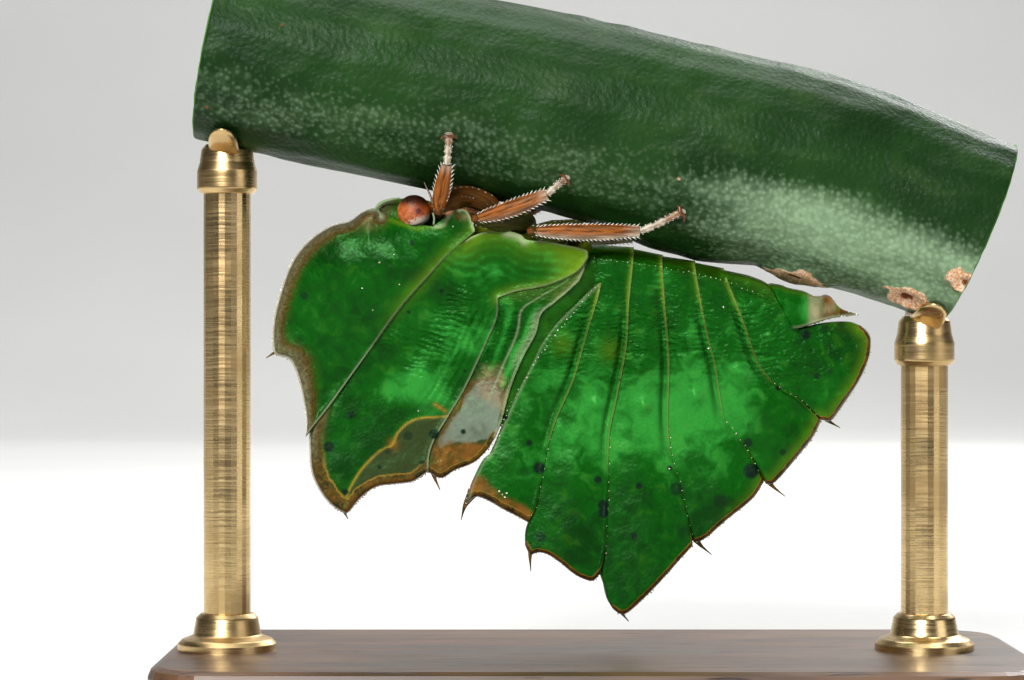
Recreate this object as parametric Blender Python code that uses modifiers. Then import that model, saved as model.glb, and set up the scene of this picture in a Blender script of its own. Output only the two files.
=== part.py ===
"""A leaf-like treehopper nymph that hangs under a cut length of green stem, on a small display stand.

All lengths are in millimetres, and MM turns them into metres where a mesh is made. X runs from the head to
the tail, Z is up and Y = 0 is the insect's plane of symmetry, with its right side at -Y. It hangs upside down:
its belly is up, under the stem, and the sharp crest of its back is down. A side view point is (x, z).
"""

import bisect
import math

import bmesh
import bpy
from mathutils import Vector

MM = 0.001
GAP = 0.3
MERGE = 0.00001
SMALLEST = 0.0000005

# The blade of the back, and how the flesh swells from it towards the belly
BLADE = 0.25
FLESH_DEPTH = 4.2
PRONOTUM_WIDTH = 1.32
THORAX_LEDGE = 1.15
ABDOMEN_WIDTH = 1.15
TAIL_WIDTH = 0.5

# Pronotum, the big front lobe with its brown rim
PRONOTUM_FRONT = [(-5.21, 11.47), (-5.73, 11.36), (-6.38, 11.08), (-6.89, 10.63), (-7.27, 10.03), (-7.46, 9.35),
                  (-7.46, 8.65), (-7.27, 8.11)]
PRONOTUM_SEAM = [(-2.78, 10.91), (-3.34, 10.35), (-3.97, 9.70), (-4.74, 8.81), (-5.54, 7.83), (-6.68, 6.26)]
PRONOTUM_MARGIN = [(-5.21, 11.47), (-4.93, 11.33), (-4.56, 11.10), (-4.16, 10.96), (-3.76, 11.01), (-3.44, 11.19),
                   (-3.15, 11.22), (-2.78, 10.91)]
PRONOTUM_MIDLINE = [(-5.19, 11.33), (-5.05, 10.77), (-4.74, 10.56), (-4.09, 10.52), (-3.48, 10.56), (-2.78, 10.73)]
PRONOTUM_CREST = [(-7.27, 8.11), (-6.96, 7.74), (-6.80, 7.17), (-6.71, 6.66), (-6.68, 6.26)]

# Thorax: the mesonotum and the metanotum, which is fused to its back. Its margin is the ledge under a wing pad.
THORAX_FRONT = [(-3.55, 9.72), (-3.74, 9.51), (-4.51, 8.58), (-5.30, 7.60), (-6.08, 6.59), (-6.57, 5.91),
                (-6.61, 5.40), (-6.38, 4.93), (-5.84, 4.53)]
THORAX_STEP = [(-2.20, 9.37), (-2.29, 9.04), (-2.69, 8.02), (-3.01, 7.38), (-3.46, 6.68), (-3.72, 6.24),
               (-3.90, 5.49)]
THORAX_BACK = [(-0.35, 9.96), (-0.91, 9.35), (-1.59, 8.30), (-1.92, 7.71), (-2.15, 7.17), (-2.24, 6.75),
               (-2.45, 6.36), (-2.92, 5.68)]
MESONOTUM_MARGIN = [(-3.55, 9.72), (-3.08, 9.65), (-2.69, 9.49), (-2.20, 9.37)]
METANOTUM_MARGIN = [(-2.20, 9.37), (-1.71, 9.39), (-1.17, 9.51), (-0.70, 9.70), (-0.35, 9.96)]
MESONOTUM_MIDLINE = [(-2.55, 10.80), (-1.87, 10.73), (-1.29, 10.63)]
METANOTUM_MIDLINE = [(-1.29, 10.63), (-0.70, 10.52), (-0.19, 10.35)]
MESONOTUM_CREST = [(-5.84, 4.53), (-5.68, 4.79), (-5.40, 5.05), (-4.98, 5.16), (-4.51, 5.16), (-4.14, 5.30),
                   (-3.90, 5.49)]
METANOTUM_CREST = [(-3.90, 5.49), (-3.76, 5.30), (-3.60, 5.26), (-3.27, 5.49), (-2.92, 5.68)]

# Wing pads, one flap over each flank of the thorax
PAD_TOP = [(-2.73, 10.63), (-2.45, 10.73), (-2.10, 10.75), (-1.29, 10.63), (-0.77, 10.56), (-0.16, 10.35)]
PAD_LOW = [(-3.08, 10.03), (-2.69, 9.79), (-2.22, 9.68), (-1.17, 9.82), (-0.70, 10.00), (-0.16, 10.35)]
PAD_ROOT = [(-2.73, 10.63), (-2.98, 10.35), (-3.08, 10.03)]
PAD_TIP = [(-0.16, 10.35), (-0.16, 10.34)]
PAD_SIDE = 1.15
PAD_THICKNESS = 0.5

# Abdomen: each seam runs from the belly to the crest, and each crest from its seam's end to the next seam
SEAMS = [
    [(0.12, 10.63), (-0.42, 9.46), (-1.15, 8.30), (-1.75, 7.20), (-2.15, 6.24), (-2.71, 5.23), (-3.06, 4.35)],
    [(0.26, 10.63), (0.07, 9.46), (-0.23, 8.44), (-0.75, 6.89), (-1.10, 5.80), (-1.33, 4.74), (-1.50, 4.30)],
    [(0.91, 10.66), (0.82, 9.46), (0.77, 8.48), (0.47, 6.87), (0.33, 5.80), (0.28, 3.79), (0.19, 3.06)],
    [(1.59, 10.54), (1.68, 9.23), (1.75, 8.11), (1.71, 7.08), (1.75, 6.17), (1.92, 5.35), (2.29, 3.83)],
    [(2.34, 10.40), (2.62, 8.83), (2.83, 7.99), (3.01, 7.13), (3.18, 6.43), (3.55, 5.96), (3.93, 5.30)],
    [(3.13, 10.21), (3.46, 9.07), (3.83, 8.02), (4.21, 7.48), (4.88, 7.06), (5.30, 6.71)],
    [(4.04, 9.91), (4.42, 9.25), (4.74, 8.60), (5.30, 8.60), (5.84, 8.69), (6.19, 8.69), (6.45, 8.41)],
]
CRESTS = [
    [(-3.06, 4.35), (-2.97, 4.63), (-2.73, 4.84), (-2.29, 4.70), (-1.87, 4.49), (-1.50, 4.30)],
    [(-1.61, 3.74), (-1.45, 3.60), (-1.17, 3.58), (-0.82, 3.34), (-0.40, 3.04), (-0.07, 2.94), (0.19, 3.06)],
    [(0.21, 2.69), (0.33, 2.38), (0.63, 2.13), (1.05, 2.45), (1.52, 2.97), (1.99, 3.44), (2.29, 3.83)],
    [(2.29, 3.83), (2.60, 3.90), (3.27, 4.39), (3.67, 4.79), (3.93, 5.30)],
    [(3.93, 5.30), (4.21, 5.16), (4.79, 5.77), (5.14, 6.29), (5.30, 6.71)],
    [(5.30, 6.71), (5.54, 6.66), (5.96, 7.29), (6.33, 7.95), (6.45, 8.41)],
]
SEAM_STEP = 0.07
SEGMENT_CROWN = 0.05
BELLY_ROUND = 0.35

# Spines of the crest as (root, tip), each at the front corner of its segment
SPINES = {
    "pronotum": [((-7.13, 8.25), (-7.62, 8.11))],
    "thorax": [((-5.94, 4.85), (-5.77, 4.37)), ((-3.72, 5.55), (-3.60, 5.05))],
    "abdomen": [((-2.86, 4.8), (-3.11, 4.22)), ((-1.47, 3.86), (-1.50, 3.06)), ((0.55, 2.48), (0.82, 1.92)),
                ((2.14, 4.05), (2.71, 3.48)), ((3.8, 5.52), (4.49, 4.84)), ((5.18, 6.85), (5.75, 6.47))],
}
SPINE_RADIUS = 0.2

# Head, with its eyes, feelers and beak
HEAD_TOP = [(-4.88, 11.64), (-4.74, 11.80), (-4.46, 11.90), (-4.09, 11.85), (-3.72, 11.76), (-3.46, 11.59)]
HEAD_BOTTOM = [(-4.88, 11.64), (-4.81, 11.24), (-4.56, 10.96), (-4.04, 10.87), (-3.65, 11.03), (-3.46, 11.59)]
HEAD_WIDTH = 0.55
EYE_CENTRE = (-4.27, 11.54)
EYE_RADII = (0.36, 0.45, 0.31)
EYE_SIDE = 0.8
ANTENNA = [(-3.72, 0.90, 11.61), (-3.81, 1.15, 11.82), (-3.95, 1.40, 12.14)]
ANTENNA_RADII = [0.2, 0.12, 0.05]
BEAK = [(-3.12, 0.0, 11.49), (-2.85, 0.0, 11.47), (-2.45, 0.0, 11.43)]
BEAK_RADII = [0.24, 0.2, 0.06]
ANAL_TUBE = [(4.70, 0.0, 9.30), (4.93, 0.0, 9.41), (5.38, 0.0, 9.37), (5.77, 0.0, 9.25), (6.12, 0.0, 9.14)]
ANAL_TUBE_RADII = [0.36, 0.36, 0.28, 0.17, 0.05]

# Legs of one side as (x, distance from the plane of symmetry, z): coxa to knee, shin, and foot with its claw
LEGS = {
    "fore": {
        "thigh": [(-2.52, 0.65, 11.10), (-2.54, 0.98, 11.38), (-3.11, 1.42, 11.57), (-3.62, 1.82, 11.46)],
        "shin": [(-3.62, 1.82, 11.46), (-3.55, 2.00, 11.84), (-3.41, 2.25, 12.48)],
        "foot": [(-3.41, 2.25, 12.48), (-3.37, 2.34, 12.82), (-3.36, 2.38, 13.16)],
    },
    "mid": {
        "thigh": [(-1.62, 0.68, 10.97), (-1.64, 1.02, 11.25), (-2.21, 1.45, 11.25), (-2.78, 1.84, 11.28)],
        "shin": [(-2.78, 1.84, 11.28), (-1.96, 1.98, 11.51), (-1.15, 2.08, 11.83)],
        "foot": [(-1.15, 2.08, 11.83), (-0.93, 2.18, 12.01), (-0.70, 2.20, 12.20)],
    },
    "hind": {
        "thigh": [(-0.39, 0.66, 10.70), (-0.42, 1.02, 11.03), (-0.96, 1.45, 11.02), (-1.51, 1.82, 11.01)],
        "shin": [(-1.51, 1.82, 11.01), (-0.28, 1.84, 10.98), (0.96, 1.85, 11.00)],
        "foot": [(0.96, 1.85, 11.00), (1.45, 2.00, 11.17), (1.92, 2.08, 11.43)],
    },
}
LEG_RADII = {"thigh": [0.2, 0.26, 0.27, 0.25], "shin": [0.25, 0.26, 0.25], "foot": [0.22, 0.16, 0.08]}

# Perch: the underside of the cut stem, in side view
STEM_RADIUS = 2.27
STEM_UNDERSIDE = [(-9.35, 13.23), (-6.89, 12.71), (-4.56, 12.22), (-2.22, 11.80), (-0.16, 11.36), (2.08, 10.82),
                  (4.02, 10.38), (5.49, 9.93), (7.13, 9.30), (8.05, 8.92)]
STEM_RINGS = 14

# Display stand
BASE_SIZE = (20.1, 9.6, 1.3)
BASE_CORNER = 1.6
BASE_BEVEL = 0.25
ROD_RADIUS = 0.55
ROD_PLACES = {"left": -8.6, "right": 7.7}

# Rows of a plate from its margin to its crest, and columns from its front to its back
ROWS = (0.0, 0.02, 0.055, 0.11, 0.18, 0.26, 0.35, 0.45, 0.55, 0.65, 0.75, 0.84, 0.92, 0.98, 1.0)
LOBE_COLUMNS = (0.0, 0.05, 0.14, 0.26, 0.38, 0.5, 0.62, 0.74, 0.86, 0.95, 1.0)
SEGMENT_COLUMNS = (0.07, 0.17, 0.32, 0.5, 0.68, 0.85, 1.0)

COLOURS = {
    "leaf_green": ((0.03, 0.19, 0.02, 1), 0.35),
    "rim_brown": ((0.2, 0.08, 0.03, 1), 0.5),
    "eye": ((0.45, 0.09, 0.02, 1), 0.25),
    "leg": ((0.4, 0.12, 0.03, 1), 0.45),
    "stem": ((0.06, 0.16, 0.05, 1), 0.5),
    "stand": ((0.55, 0.55, 0.53, 1), 0.4),
}


class Track:
    """A smooth line through a few points, read by the share of its length from 0 to 1."""

    SPAN_STEPS = 10

    def __init__(self, points):
        knots = [Vector(point) for point in points]
        knots = [2 * knots[0] - knots[1]] + knots + [2 * knots[-1] - knots[-2]]
        self.points = [knots[1]]
        for knot in range(1, len(knots) - 2):
            for step in range(1, self.SPAN_STEPS + 1):
                self.points.append(self.between(knots[knot - 1:knot + 3], step / self.SPAN_STEPS))
        self.lengths = [0.0]
        for start, end in zip(self.points, self.points[1:]):
            self.lengths.append(self.lengths[-1] + (end - start).length)

    @staticmethod
    def between(knots, t):
        """The smooth curve from the second knot to the third."""
        before, start, end, after = knots
        bend = 2 * before - 5 * start + 4 * end - after
        twist = 3 * start - before - 3 * end + after
        return 0.5 * (2 * start + (end - before) * t + bend * t ** 2 + twist * t ** 3)

    def at(self, share):
        place = share * self.lengths[-1]
        end = min(max(bisect.bisect_left(self.lengths, place), 1), len(self.points) - 1)
        span = self.lengths[end] - self.lengths[end - 1]
        return self.points[end - 1].lerp(self.points[end], (place - self.lengths[end - 1]) / span)


def patch(front, back, margin, crest):
    """A side view sheet between four tracks, as a function of u, front to back, and v, margin to crest."""
    def point(u, v):
        across = front.at(v).lerp(back.at(v), u)
        along = margin.at(u).lerp(crest.at(u), v)
        corners = margin.at(0).lerp(margin.at(1), u).lerp(crest.at(0).lerp(crest.at(1), u), v)
        return across + along - corners
    return point


def swell(depth):
    """Falls smoothly from 1 at the belly to 0 where the flesh ends and the thin blade is left."""
    share = min(max(depth / FLESH_DEPTH, 0.0), 1.0)
    return (1 - share) ** 2 * (1 + 2 * share)


def round_in(share, reach):
    """Rises from 0 to 1 along a quarter of a circle as the share goes from 0 to reach."""
    return math.sqrt(1 - (1 - min(share / reach, 1.0)) ** 2)


def closed_ends(columns, front=True, back=True):
    """Adds a column on the plane of symmetry at each end that is a cut face."""
    shut = [[(point, 0.0) for point, _ in column] for column in (columns[0], columns[-1])]
    return [shut[0]] * front + columns + [shut[1]] * back


def material_for(slot):
    material = bpy.data.materials.get(slot)
    if material is None:
        material = bpy.data.materials.new(slot)
        material.use_nodes = True
        shader = material.node_tree.nodes["Principled BSDF"]
        colour, roughness = COLOURS[slot]
        shader.inputs["Base Color"].default_value = colour
        shader.inputs["Roughness"].default_value = roughness
        shader.inputs["Metallic"].default_value = 0.0
    return material


def add_object(name, mesh, slot, collection):
    item = bpy.data.objects.new(name, mesh)
    mesh.materials.clear()
    mesh.materials.append(material_for(slot))
    mesh.shade_smooth()
    mesh.set_sharp_from_angle(angle=math.radians(35))
    collection.objects.link(item)
    return item


def finish_mesh(form, name):
    """Turns a bmesh in millimetres into a mesh in metres."""
    bmesh.ops.scale(form, vec=(MM, MM, MM), verts=form.verts)
    bmesh.ops.remove_doubles(form, verts=form.verts, dist=SMALLEST)
    mesh = bpy.data.meshes.new(name)
    form.to_mesh(mesh)
    form.free()
    return mesh


def symmetric_body(name, columns, slot, collection):
    """A body from the columns of its right half, whose outermost points lie on the plane of symmetry."""
    wide = len(columns)
    high = len(columns[0])
    form = bmesh.new()
    grid = bmesh.ops.create_grid(form, x_segments=wide - 1, y_segments=high - 1, size=1)
    vertices = grid["verts"]
    for index, vertex in enumerate(vertices):
        point, side = columns[index % wide][index // wide]
        vertex.co = (point.x, -side, point.y)
    bmesh.ops.reverse_faces(form, faces=form.faces)
    bmesh.ops.remove_doubles(form, verts=form.verts, dist=SMALLEST / MM)
    bmesh.ops.triangulate(form, faces=form.faces)
    flat = [face for face in form.faces if all(vertex.co.y == 0 for vertex in face.verts)]
    bmesh.ops.delete(form, geom=flat, context="FACES")
    item = add_object(name, finish_mesh(form, name), slot, collection)
    mirror = item.modifiers.new("Other side", "MIRROR")
    mirror.use_axis = (False, True, False)
    mirror.merge_threshold = MERGE
    return item


def tube(name, points, radii, slot, collection, sides=2):
    """A tapered round limb along a smooth line, with capped ends."""
    curve = bpy.data.curves.new(name, "CURVE")
    curve.dimensions = "3D"
    curve.bevel_depth = MM
    curve.bevel_resolution = sides
    curve.use_fill_caps = True
    spline = curve.splines.new("POLY")
    spline.points.add(len(points) - 1)
    for knot, point, radius in zip(spline.points, points, radii):
        knot.co = (*(Vector(point) * MM), 1)
        knot.radius = radius
    item = bpy.data.objects.new(name, curve)
    collection.objects.link(item)
    graph = bpy.context.evaluated_depsgraph_get()
    mesh = bpy.data.meshes.new_from_object(item.evaluated_get(graph))
    bpy.data.objects.remove(item)
    form = bmesh.new()
    form.from_mesh(mesh)
    bmesh.ops.remove_doubles(form, verts=form.verts, dist=SMALLEST)
    form.to_mesh(mesh)
    form.free()
    return add_object(name, mesh, slot, collection)


def limb(name, points, radii, slot, collection, side=-1, rings=6):
    """A tube through few points, on the side of the body that is asked for."""
    path = Track([(x, side * y, z) for x, y, z in points])
    steps = [ring / (rings - 1) for ring in range(rings)]
    widths = [interpolate(radii, step) for step in steps]
    return tube(name, [path.at(step) for step in steps], widths, slot, collection)


def interpolate(values, share):
    place = share * (len(values) - 1)
    index = min(int(place), len(values) - 2)
    return values[index] + (values[index + 1] - values[index]) * (place - index)


def largest_body(form):
    """Deletes every closed surface of the bmesh but the largest."""
    left = set(form.verts)
    bodies = []
    while left:
        body = {left.pop()}
        edge = list(body)
        while edge:
            near = {link.other_vert(vertex) for vertex in edge for link in vertex.link_edges}
            edge = list(near - body)
            body |= near
        left -= body
        bodies.append(body)
    keep = max(bodies, key=len)
    bmesh.ops.delete(form, geom=[vertex for vertex in form.verts if vertex not in keep], context="VERTS")


def fuse(item, pieces):
    """Joins the pieces to the item with one Boolean union, applies it and leaves one closed body."""
    group = bpy.data.collections.new("To fuse")
    bpy.context.scene.collection.children.link(group)
    for piece in pieces:
        for holder in list(piece.users_collection):
            holder.objects.unlink(piece)
        group.objects.link(piece)
    union = item.modifiers.new("Union", "BOOLEAN")
    union.operation = "UNION"
    union.operand_type = "COLLECTION"
    union.collection = group
    union.solver = "MANIFOLD"
    bpy.context.view_layer.update()
    graph = bpy.context.evaluated_depsgraph_get()
    mesh = bpy.data.meshes.new_from_object(item.evaluated_get(graph))
    item.modifiers.clear()
    for piece in pieces:
        bpy.data.objects.remove(piece)
    bpy.data.collections.remove(group)
    form = bmesh.new()
    form.from_mesh(mesh)
    largest_body(form)
    form.to_mesh(mesh)
    form.free()
    mesh.shade_smooth()
    mesh.set_sharp_from_angle(angle=math.radians(35))
    item.data = mesh


def spines_for(node, slot, collection):
    """The tapered spines of one node's crest, their roots sunk in it."""
    spines = []
    for number, (root, tip) in enumerate(SPINES[node]):
        middle = (Vector(root) + Vector(tip)) / 2
        points = [(root[0], 0.0, root[1]), (middle.x, 0.0, middle.y), (tip[0], 0.0, tip[1])]
        radii = [SPINE_RADIUS, SPINE_RADIUS * 0.55, 0.03]
        spines.append(tube(f"{node}_spine_{number}", points, radii, slot, collection, sides=1))
    return spines


def make_pronotum(collection):
    sheet = patch(Track(PRONOTUM_FRONT), Track(PRONOTUM_SEAM), Track(PRONOTUM_MARGIN), Track(PRONOTUM_CREST))
    midline = Track(PRONOTUM_MIDLINE)
    columns = []
    for u in LOBE_COLUMNS:
        width = PRONOTUM_WIDTH * round_in(u, 0.35) if u else 0.0
        under = [(0.0, 0.0), (0.0, 0.66), (0.75, 0.7)]
        margin = sheet(u, 0)
        column = [(midline.at(u).lerp(margin, rise), width * part) for rise, part in under]
        for v in ROWS:
            point = sheet(u, v)
            depth = (point - margin).length
            flesh = (max(width, BLADE) - BLADE) * swell(depth) * (0.8 + 0.2 * round_in(depth, 0.4))
            on_rim = u == 0 or v == 1
            column.append((point, 0.0 if on_rim else BLADE + flesh))
        columns.append(column)
    item = symmetric_body("pronotum", closed_ends(columns, front=False), "leaf_green", collection)
    fuse(item, spines_for("pronotum", "leaf_green", collection))


def thorax_column(sheet, midline, u, raised):
    """One section of the thorax: a narrow core between the wing pads, the ledge below them, and the flank."""
    margin = sheet(u, 0)
    top = midline.at(u)
    core = [(0.0, 0.0), (0.02, 0.45), (0.2, 0.58), (0.98, 0.6)]
    column = [(top.lerp(margin, share), side) for share, side in core]
    ledge_depth = 1.0
    flesh = (THORAX_LEDGE - BLADE) / swell(ledge_depth)
    for v in ROWS:
        point = sheet(u, v)
        depth = (point - margin).length
        side = BLADE + flesh * swell(ledge_depth + depth) + raised
        column.append((point, 0.0 if v == 1 else side))
    return column


def make_thorax(collection):
    front, step, back = Track(THORAX_FRONT), Track(THORAX_STEP), Track(THORAX_BACK)
    mesonotum = patch(front, step, Track(MESONOTUM_MARGIN), Track(MESONOTUM_CREST))
    metanotum = patch(step, back, Track(METANOTUM_MARGIN), Track(METANOTUM_CREST))
    columns = []
    for u in LOBE_COLUMNS:
        columns.append(thorax_column(mesonotum, Track(MESONOTUM_MIDLINE), u, SEAM_STEP * u))
    for u in LOBE_COLUMNS[1:]:
        columns.append(thorax_column(metanotum, Track(METANOTUM_MIDLINE), u, 0.0))
    item = symmetric_body("thorax", closed_ends(columns), "leaf_green", collection)
    fuse(item, spines_for("thorax", "leaf_green", collection))


def make_abdomen(collection):
    columns = []
    count = len(CRESTS)
    for number in range(count):
        front, back, crest = Track(SEAMS[number]), Track(SEAMS[number + 1]), Track(CRESTS[number])
        belly = Track([SEAMS[number][0], SEAMS[number + 1][0]])
        sheet = patch(stretched(front, crest.at(0)), stretched(back, crest.at(1)), belly, crest)
        first = (0.0,) if number == 0 else ()
        for u in first + SEGMENT_COLUMNS:
            along = (number + u) / count
            width = ABDOMEN_WIDTH + (TAIL_WIDTH - ABDOMEN_WIDTH) * along ** 1.4
            raised = SEAM_STEP * u + SEGMENT_CROWN * math.sin(math.pi * u)
            last = number == count - 1 and u == 1
            columns.append(abdomen_column(sheet, u, width + raised, BLADE + raised, last))
    item = symmetric_body("abdomen", closed_ends(columns, back=False), "leaf_green", collection)
    fuse(item, spines_for("abdomen", "leaf_green", collection))


def stretched(track, end):
    """The same line, bent a little over its last part so that it ends in the given point."""
    points = [track.at(step / 8) for step in range(8)]
    return Track([tuple(point) for point in points] + [tuple(end)])


def abdomen_column(sheet, u, width, blade, on_plane):
    """One section of the abdomen: a rounded belly, the flank, and the thin blade."""
    top = sheet(u, 0)
    length = (sheet(u, 1) - top).length
    margin_share = min(BELLY_ROUND / length, 0.2)
    column = []
    for rise, part in [(0.0, 0.0), (0.15, 0.42), (0.45, 0.68)]:
        column.append((sheet(u, margin_share * rise), 0.0 if on_plane else width * part))
    for v in ROWS:
        point = sheet(u, margin_share + (1 - margin_share) * v)
        depth = (point - top).length
        flesh = (width - blade) * swell(depth) * (0.8 + 0.2 * round_in(v, 0.05))
        column.append((point, 0.0 if v == 1 or on_plane else blade + flesh))
    return column


def lens(name, top, bottom, half_width, steps, slot, collection):
    """A closed form between two side view lines, widest in its middle."""
    upper, lower = Track(top), Track(bottom)
    columns = []
    for column in range(steps + 1):
        u = column / steps
        spread = math.sin(math.pi * u) ** 0.6
        rows = []
        for row in range(steps + 1):
            v = row / steps
            rows.append((upper.at(u).lerp(lower.at(u), v), half_width * spread * abs(math.sin(math.pi * v)) ** 0.6))
        columns.append(rows)
    return symmetric_body(name, columns, slot, collection)


def make_head(collection):
    lens("head", HEAD_TOP, HEAD_BOTTOM, HEAD_WIDTH, 12, "leaf_green", collection)
    for label, side in (("right", -1), ("left", 1)):
        make_eye(f"eye_{label}", side, collection)
        limb(f"antenna_{label}", ANTENNA, ANTENNA_RADII, "leg", collection, side)
    limb("beak", BEAK, BEAK_RADII, "leg", collection)


def make_eye(name, side, collection):
    """A dome whose flat side faces the flank of the head."""
    form = bmesh.new()
    bmesh.ops.create_uvsphere(form, u_segments=16, v_segments=10, radius=1)
    bmesh.ops.scale(form, vec=EYE_RADII, verts=form.verts)
    flat = HEAD_WIDTH + GAP - EYE_SIDE
    plane = {"plane_co": (0, side * flat, 0), "plane_no": (0, -side, 0)}
    bmesh.ops.bisect_plane(form, geom=form.verts[:] + form.edges[:] + form.faces[:], clear_outer=True, **plane)
    bmesh.ops.holes_fill(form, edges=form.edges[:])
    centre = (EYE_CENTRE[0], side * EYE_SIDE, EYE_CENTRE[1])
    bmesh.ops.translate(form, vec=centre, verts=form.verts)
    add_object(name, finish_mesh(form, name), "eye", collection)


def make_wing_pad(name, side, collection):
    """A flap that follows the flank, thin at its rim."""
    sheet = patch(Track(PAD_ROOT), Track(PAD_TIP), Track(PAD_TOP), Track(PAD_LOW))
    columns = []
    steps = (0.0, 0.05, 0.15, 0.3, 0.45, 0.6, 0.75, 0.88, 0.96, 1.0)
    rows = (0.0, 0.1, 0.3, 0.5, 0.7, 0.9, 1.0)
    for u in steps:
        columns.append([(sheet(u, v), PAD_THICKNESS / 2 * (u not in (0, 1)) * (v not in (0, 1))) for v in rows])
    item = symmetric_body(name, columns, "leaf_green", collection)
    item.location.y = side * PAD_SIDE * MM


def make_leg(name, parts, side, collection):
    """One leg: coxa and femur, tibia, and tarsus with its claw, fused at the joints."""
    pieces = []
    for part, points in parts.items():
        rings = 7 if part == "thigh" else 4
        pieces.append(limb(f"{name}_{part}", points, LEG_RADII[part], "leg", collection, side, rings))
    thigh = pieces.pop(0)
    thigh.name = name
    fuse(thigh, pieces)


def make_stem(collection):
    """The perch: a round stem whose axis runs one radius above its underside."""
    underside = Track(STEM_UNDERSIDE)
    axis = []
    for ring in range(STEM_RINGS):
        share = ring / (STEM_RINGS - 1)
        run = underside.at(min(share + 0.02, 1)) - underside.at(max(share - 0.02, 0))
        up = Vector((-run.y, run.x)).normalized() * STEM_RADIUS
        point = underside.at(share) + up
        axis.append((point.x, 0.0, point.y))
    tube("perch_stem", axis, [STEM_RADIUS] * STEM_RINGS, "stem", collection, sides=10)


def underside_height(x):
    """The height of the stem's underside over a place on the base."""
    underside = Track(STEM_UNDERSIDE)
    return min(underside.points, key=lambda point: abs(point.x - x)).y


def make_stand(collection):
    make_base(collection)
    for label, x in ROD_PLACES.items():
        bottom = BASE_SIZE[2] + GAP
        top = underside_height(x) - GAP - 0.1
        form = bmesh.new()
        bmesh.ops.create_cone(form, cap_ends=True, segments=24, radius1=ROD_RADIUS, radius2=ROD_RADIUS,
                              depth=top - bottom)
        bmesh.ops.translate(form, vec=(x, 0, (top + bottom) / 2), verts=form.verts)
        add_object(f"stand_rod_{label}", finish_mesh(form, "stand_rod"), "stand", collection)


def make_base(collection):
    """A flat plate with round corners and a small bevel round its top and bottom."""
    form = bmesh.new()
    bmesh.ops.create_cube(form, size=1)
    bmesh.ops.scale(form, vec=BASE_SIZE, verts=form.verts)
    bmesh.ops.translate(form, vec=(0, 0, BASE_SIZE[2] / 2), verts=form.verts)
    upright = [edge for edge in form.edges if abs(edge.verts[0].co.z - edge.verts[1].co.z) > 1]
    bmesh.ops.bevel(form, geom=upright, offset=BASE_CORNER, segments=6, profile=0.5, affect="EDGES")
    base = add_object("stand_base", finish_mesh(form, "stand_base"), "stand", collection)
    bevel = base.modifiers.new("Bevel", "BEVEL")
    bevel.width = BASE_BEVEL * MM
    bevel.segments = 2
    bevel.limit_method = "ANGLE"
    bevel.angle_limit = math.radians(60)


def main():
    for item in list(bpy.data.objects):
        bpy.data.objects.remove(item)
    parts = bpy.data.collections.new("Treehopper nymph")
    bpy.context.scene.collection.children.link(parts)
    make_head(parts)
    make_pronotum(parts)
    make_thorax(parts)
    make_abdomen(parts)
    limb("anal_tube", ANAL_TUBE, ANAL_TUBE_RADII, "rim_brown", parts)
    for label, side in (("right", -1), ("left", 1)):
        make_wing_pad(f"wing_pad_{label}", side, parts)
        for leg, sections in LEGS.items():
            make_leg(f"leg_{leg}_{label}", sections, side, parts)
    make_stem(parts)
    make_stand(parts)


main()
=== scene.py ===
"""The looks of the treehopper nymph: its skin, eyes, legs, stem and stand, and their light and camera.

Shapes are in millimetres in the frame of the CAD model: X runs from the head to the tail, Z is up, and
Y = 0 is the insect's plane of symmetry, with its right side at -Y. It hangs upside down under the stem.
A side view point is (x, z) as the photo shows it against that plane; `off_plane` moves it to where it is
at its real distance.
"""

import math

import bmesh
import bpy
import numpy as np
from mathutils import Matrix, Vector, kdtree


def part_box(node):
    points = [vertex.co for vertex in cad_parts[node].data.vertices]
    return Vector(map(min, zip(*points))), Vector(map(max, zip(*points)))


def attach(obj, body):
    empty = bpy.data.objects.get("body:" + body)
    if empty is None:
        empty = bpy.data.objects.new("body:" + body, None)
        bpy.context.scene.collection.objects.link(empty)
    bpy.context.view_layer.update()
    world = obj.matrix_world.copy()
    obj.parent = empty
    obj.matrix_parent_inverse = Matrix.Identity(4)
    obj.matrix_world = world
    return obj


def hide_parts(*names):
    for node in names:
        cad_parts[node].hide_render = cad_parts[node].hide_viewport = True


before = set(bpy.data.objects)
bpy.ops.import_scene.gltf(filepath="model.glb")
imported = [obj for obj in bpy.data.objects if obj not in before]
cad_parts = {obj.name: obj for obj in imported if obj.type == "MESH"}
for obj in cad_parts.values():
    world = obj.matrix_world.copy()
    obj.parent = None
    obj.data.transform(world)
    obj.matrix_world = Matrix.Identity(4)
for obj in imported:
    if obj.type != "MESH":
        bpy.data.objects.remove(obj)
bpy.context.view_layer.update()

MM = 0.001

# The camera looks along +Y at the middle of the photo, from this far
EYE_X, EYE_Z = -1.94, 8.53
EYE_DISTANCE = 66.5
LENS = 100

# Distance between points of the skin, and how its borders are rounded
STEP = 0.036
BLADE_ROUND = 0.12
LIP_ROUND = 0.035
TUCK_ROUND = 0.1
BELLY_ROUND = 0.45

# How thick the body is: a thin blade at the back, and flesh that swells from it towards the belly
BLADE = 0.2
FLESH_DEPTH = 4.2
BELLY_LINE = [(-5.02, 11.43), (-4.16, 11.13), (-2.83, 11.10), (-2.00, 11.07), (-1.20, 10.86),
              (-0.12, 10.79), (1.05, 10.69), (2.45, 10.35), (3.40, 10.10), (4.10, 9.80), (6.30, 8.85)]
WIDTH_PLACES = [-5.0, -3.0, -0.8, -0.1, 0.8, 2.5, 4.8, 6.4]
WIDTHS = [1.1, 1.25, 1.25, 1.13, 1.12, 0.95, 0.5, 0.3]
FRONT_REACH = 1.7

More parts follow.
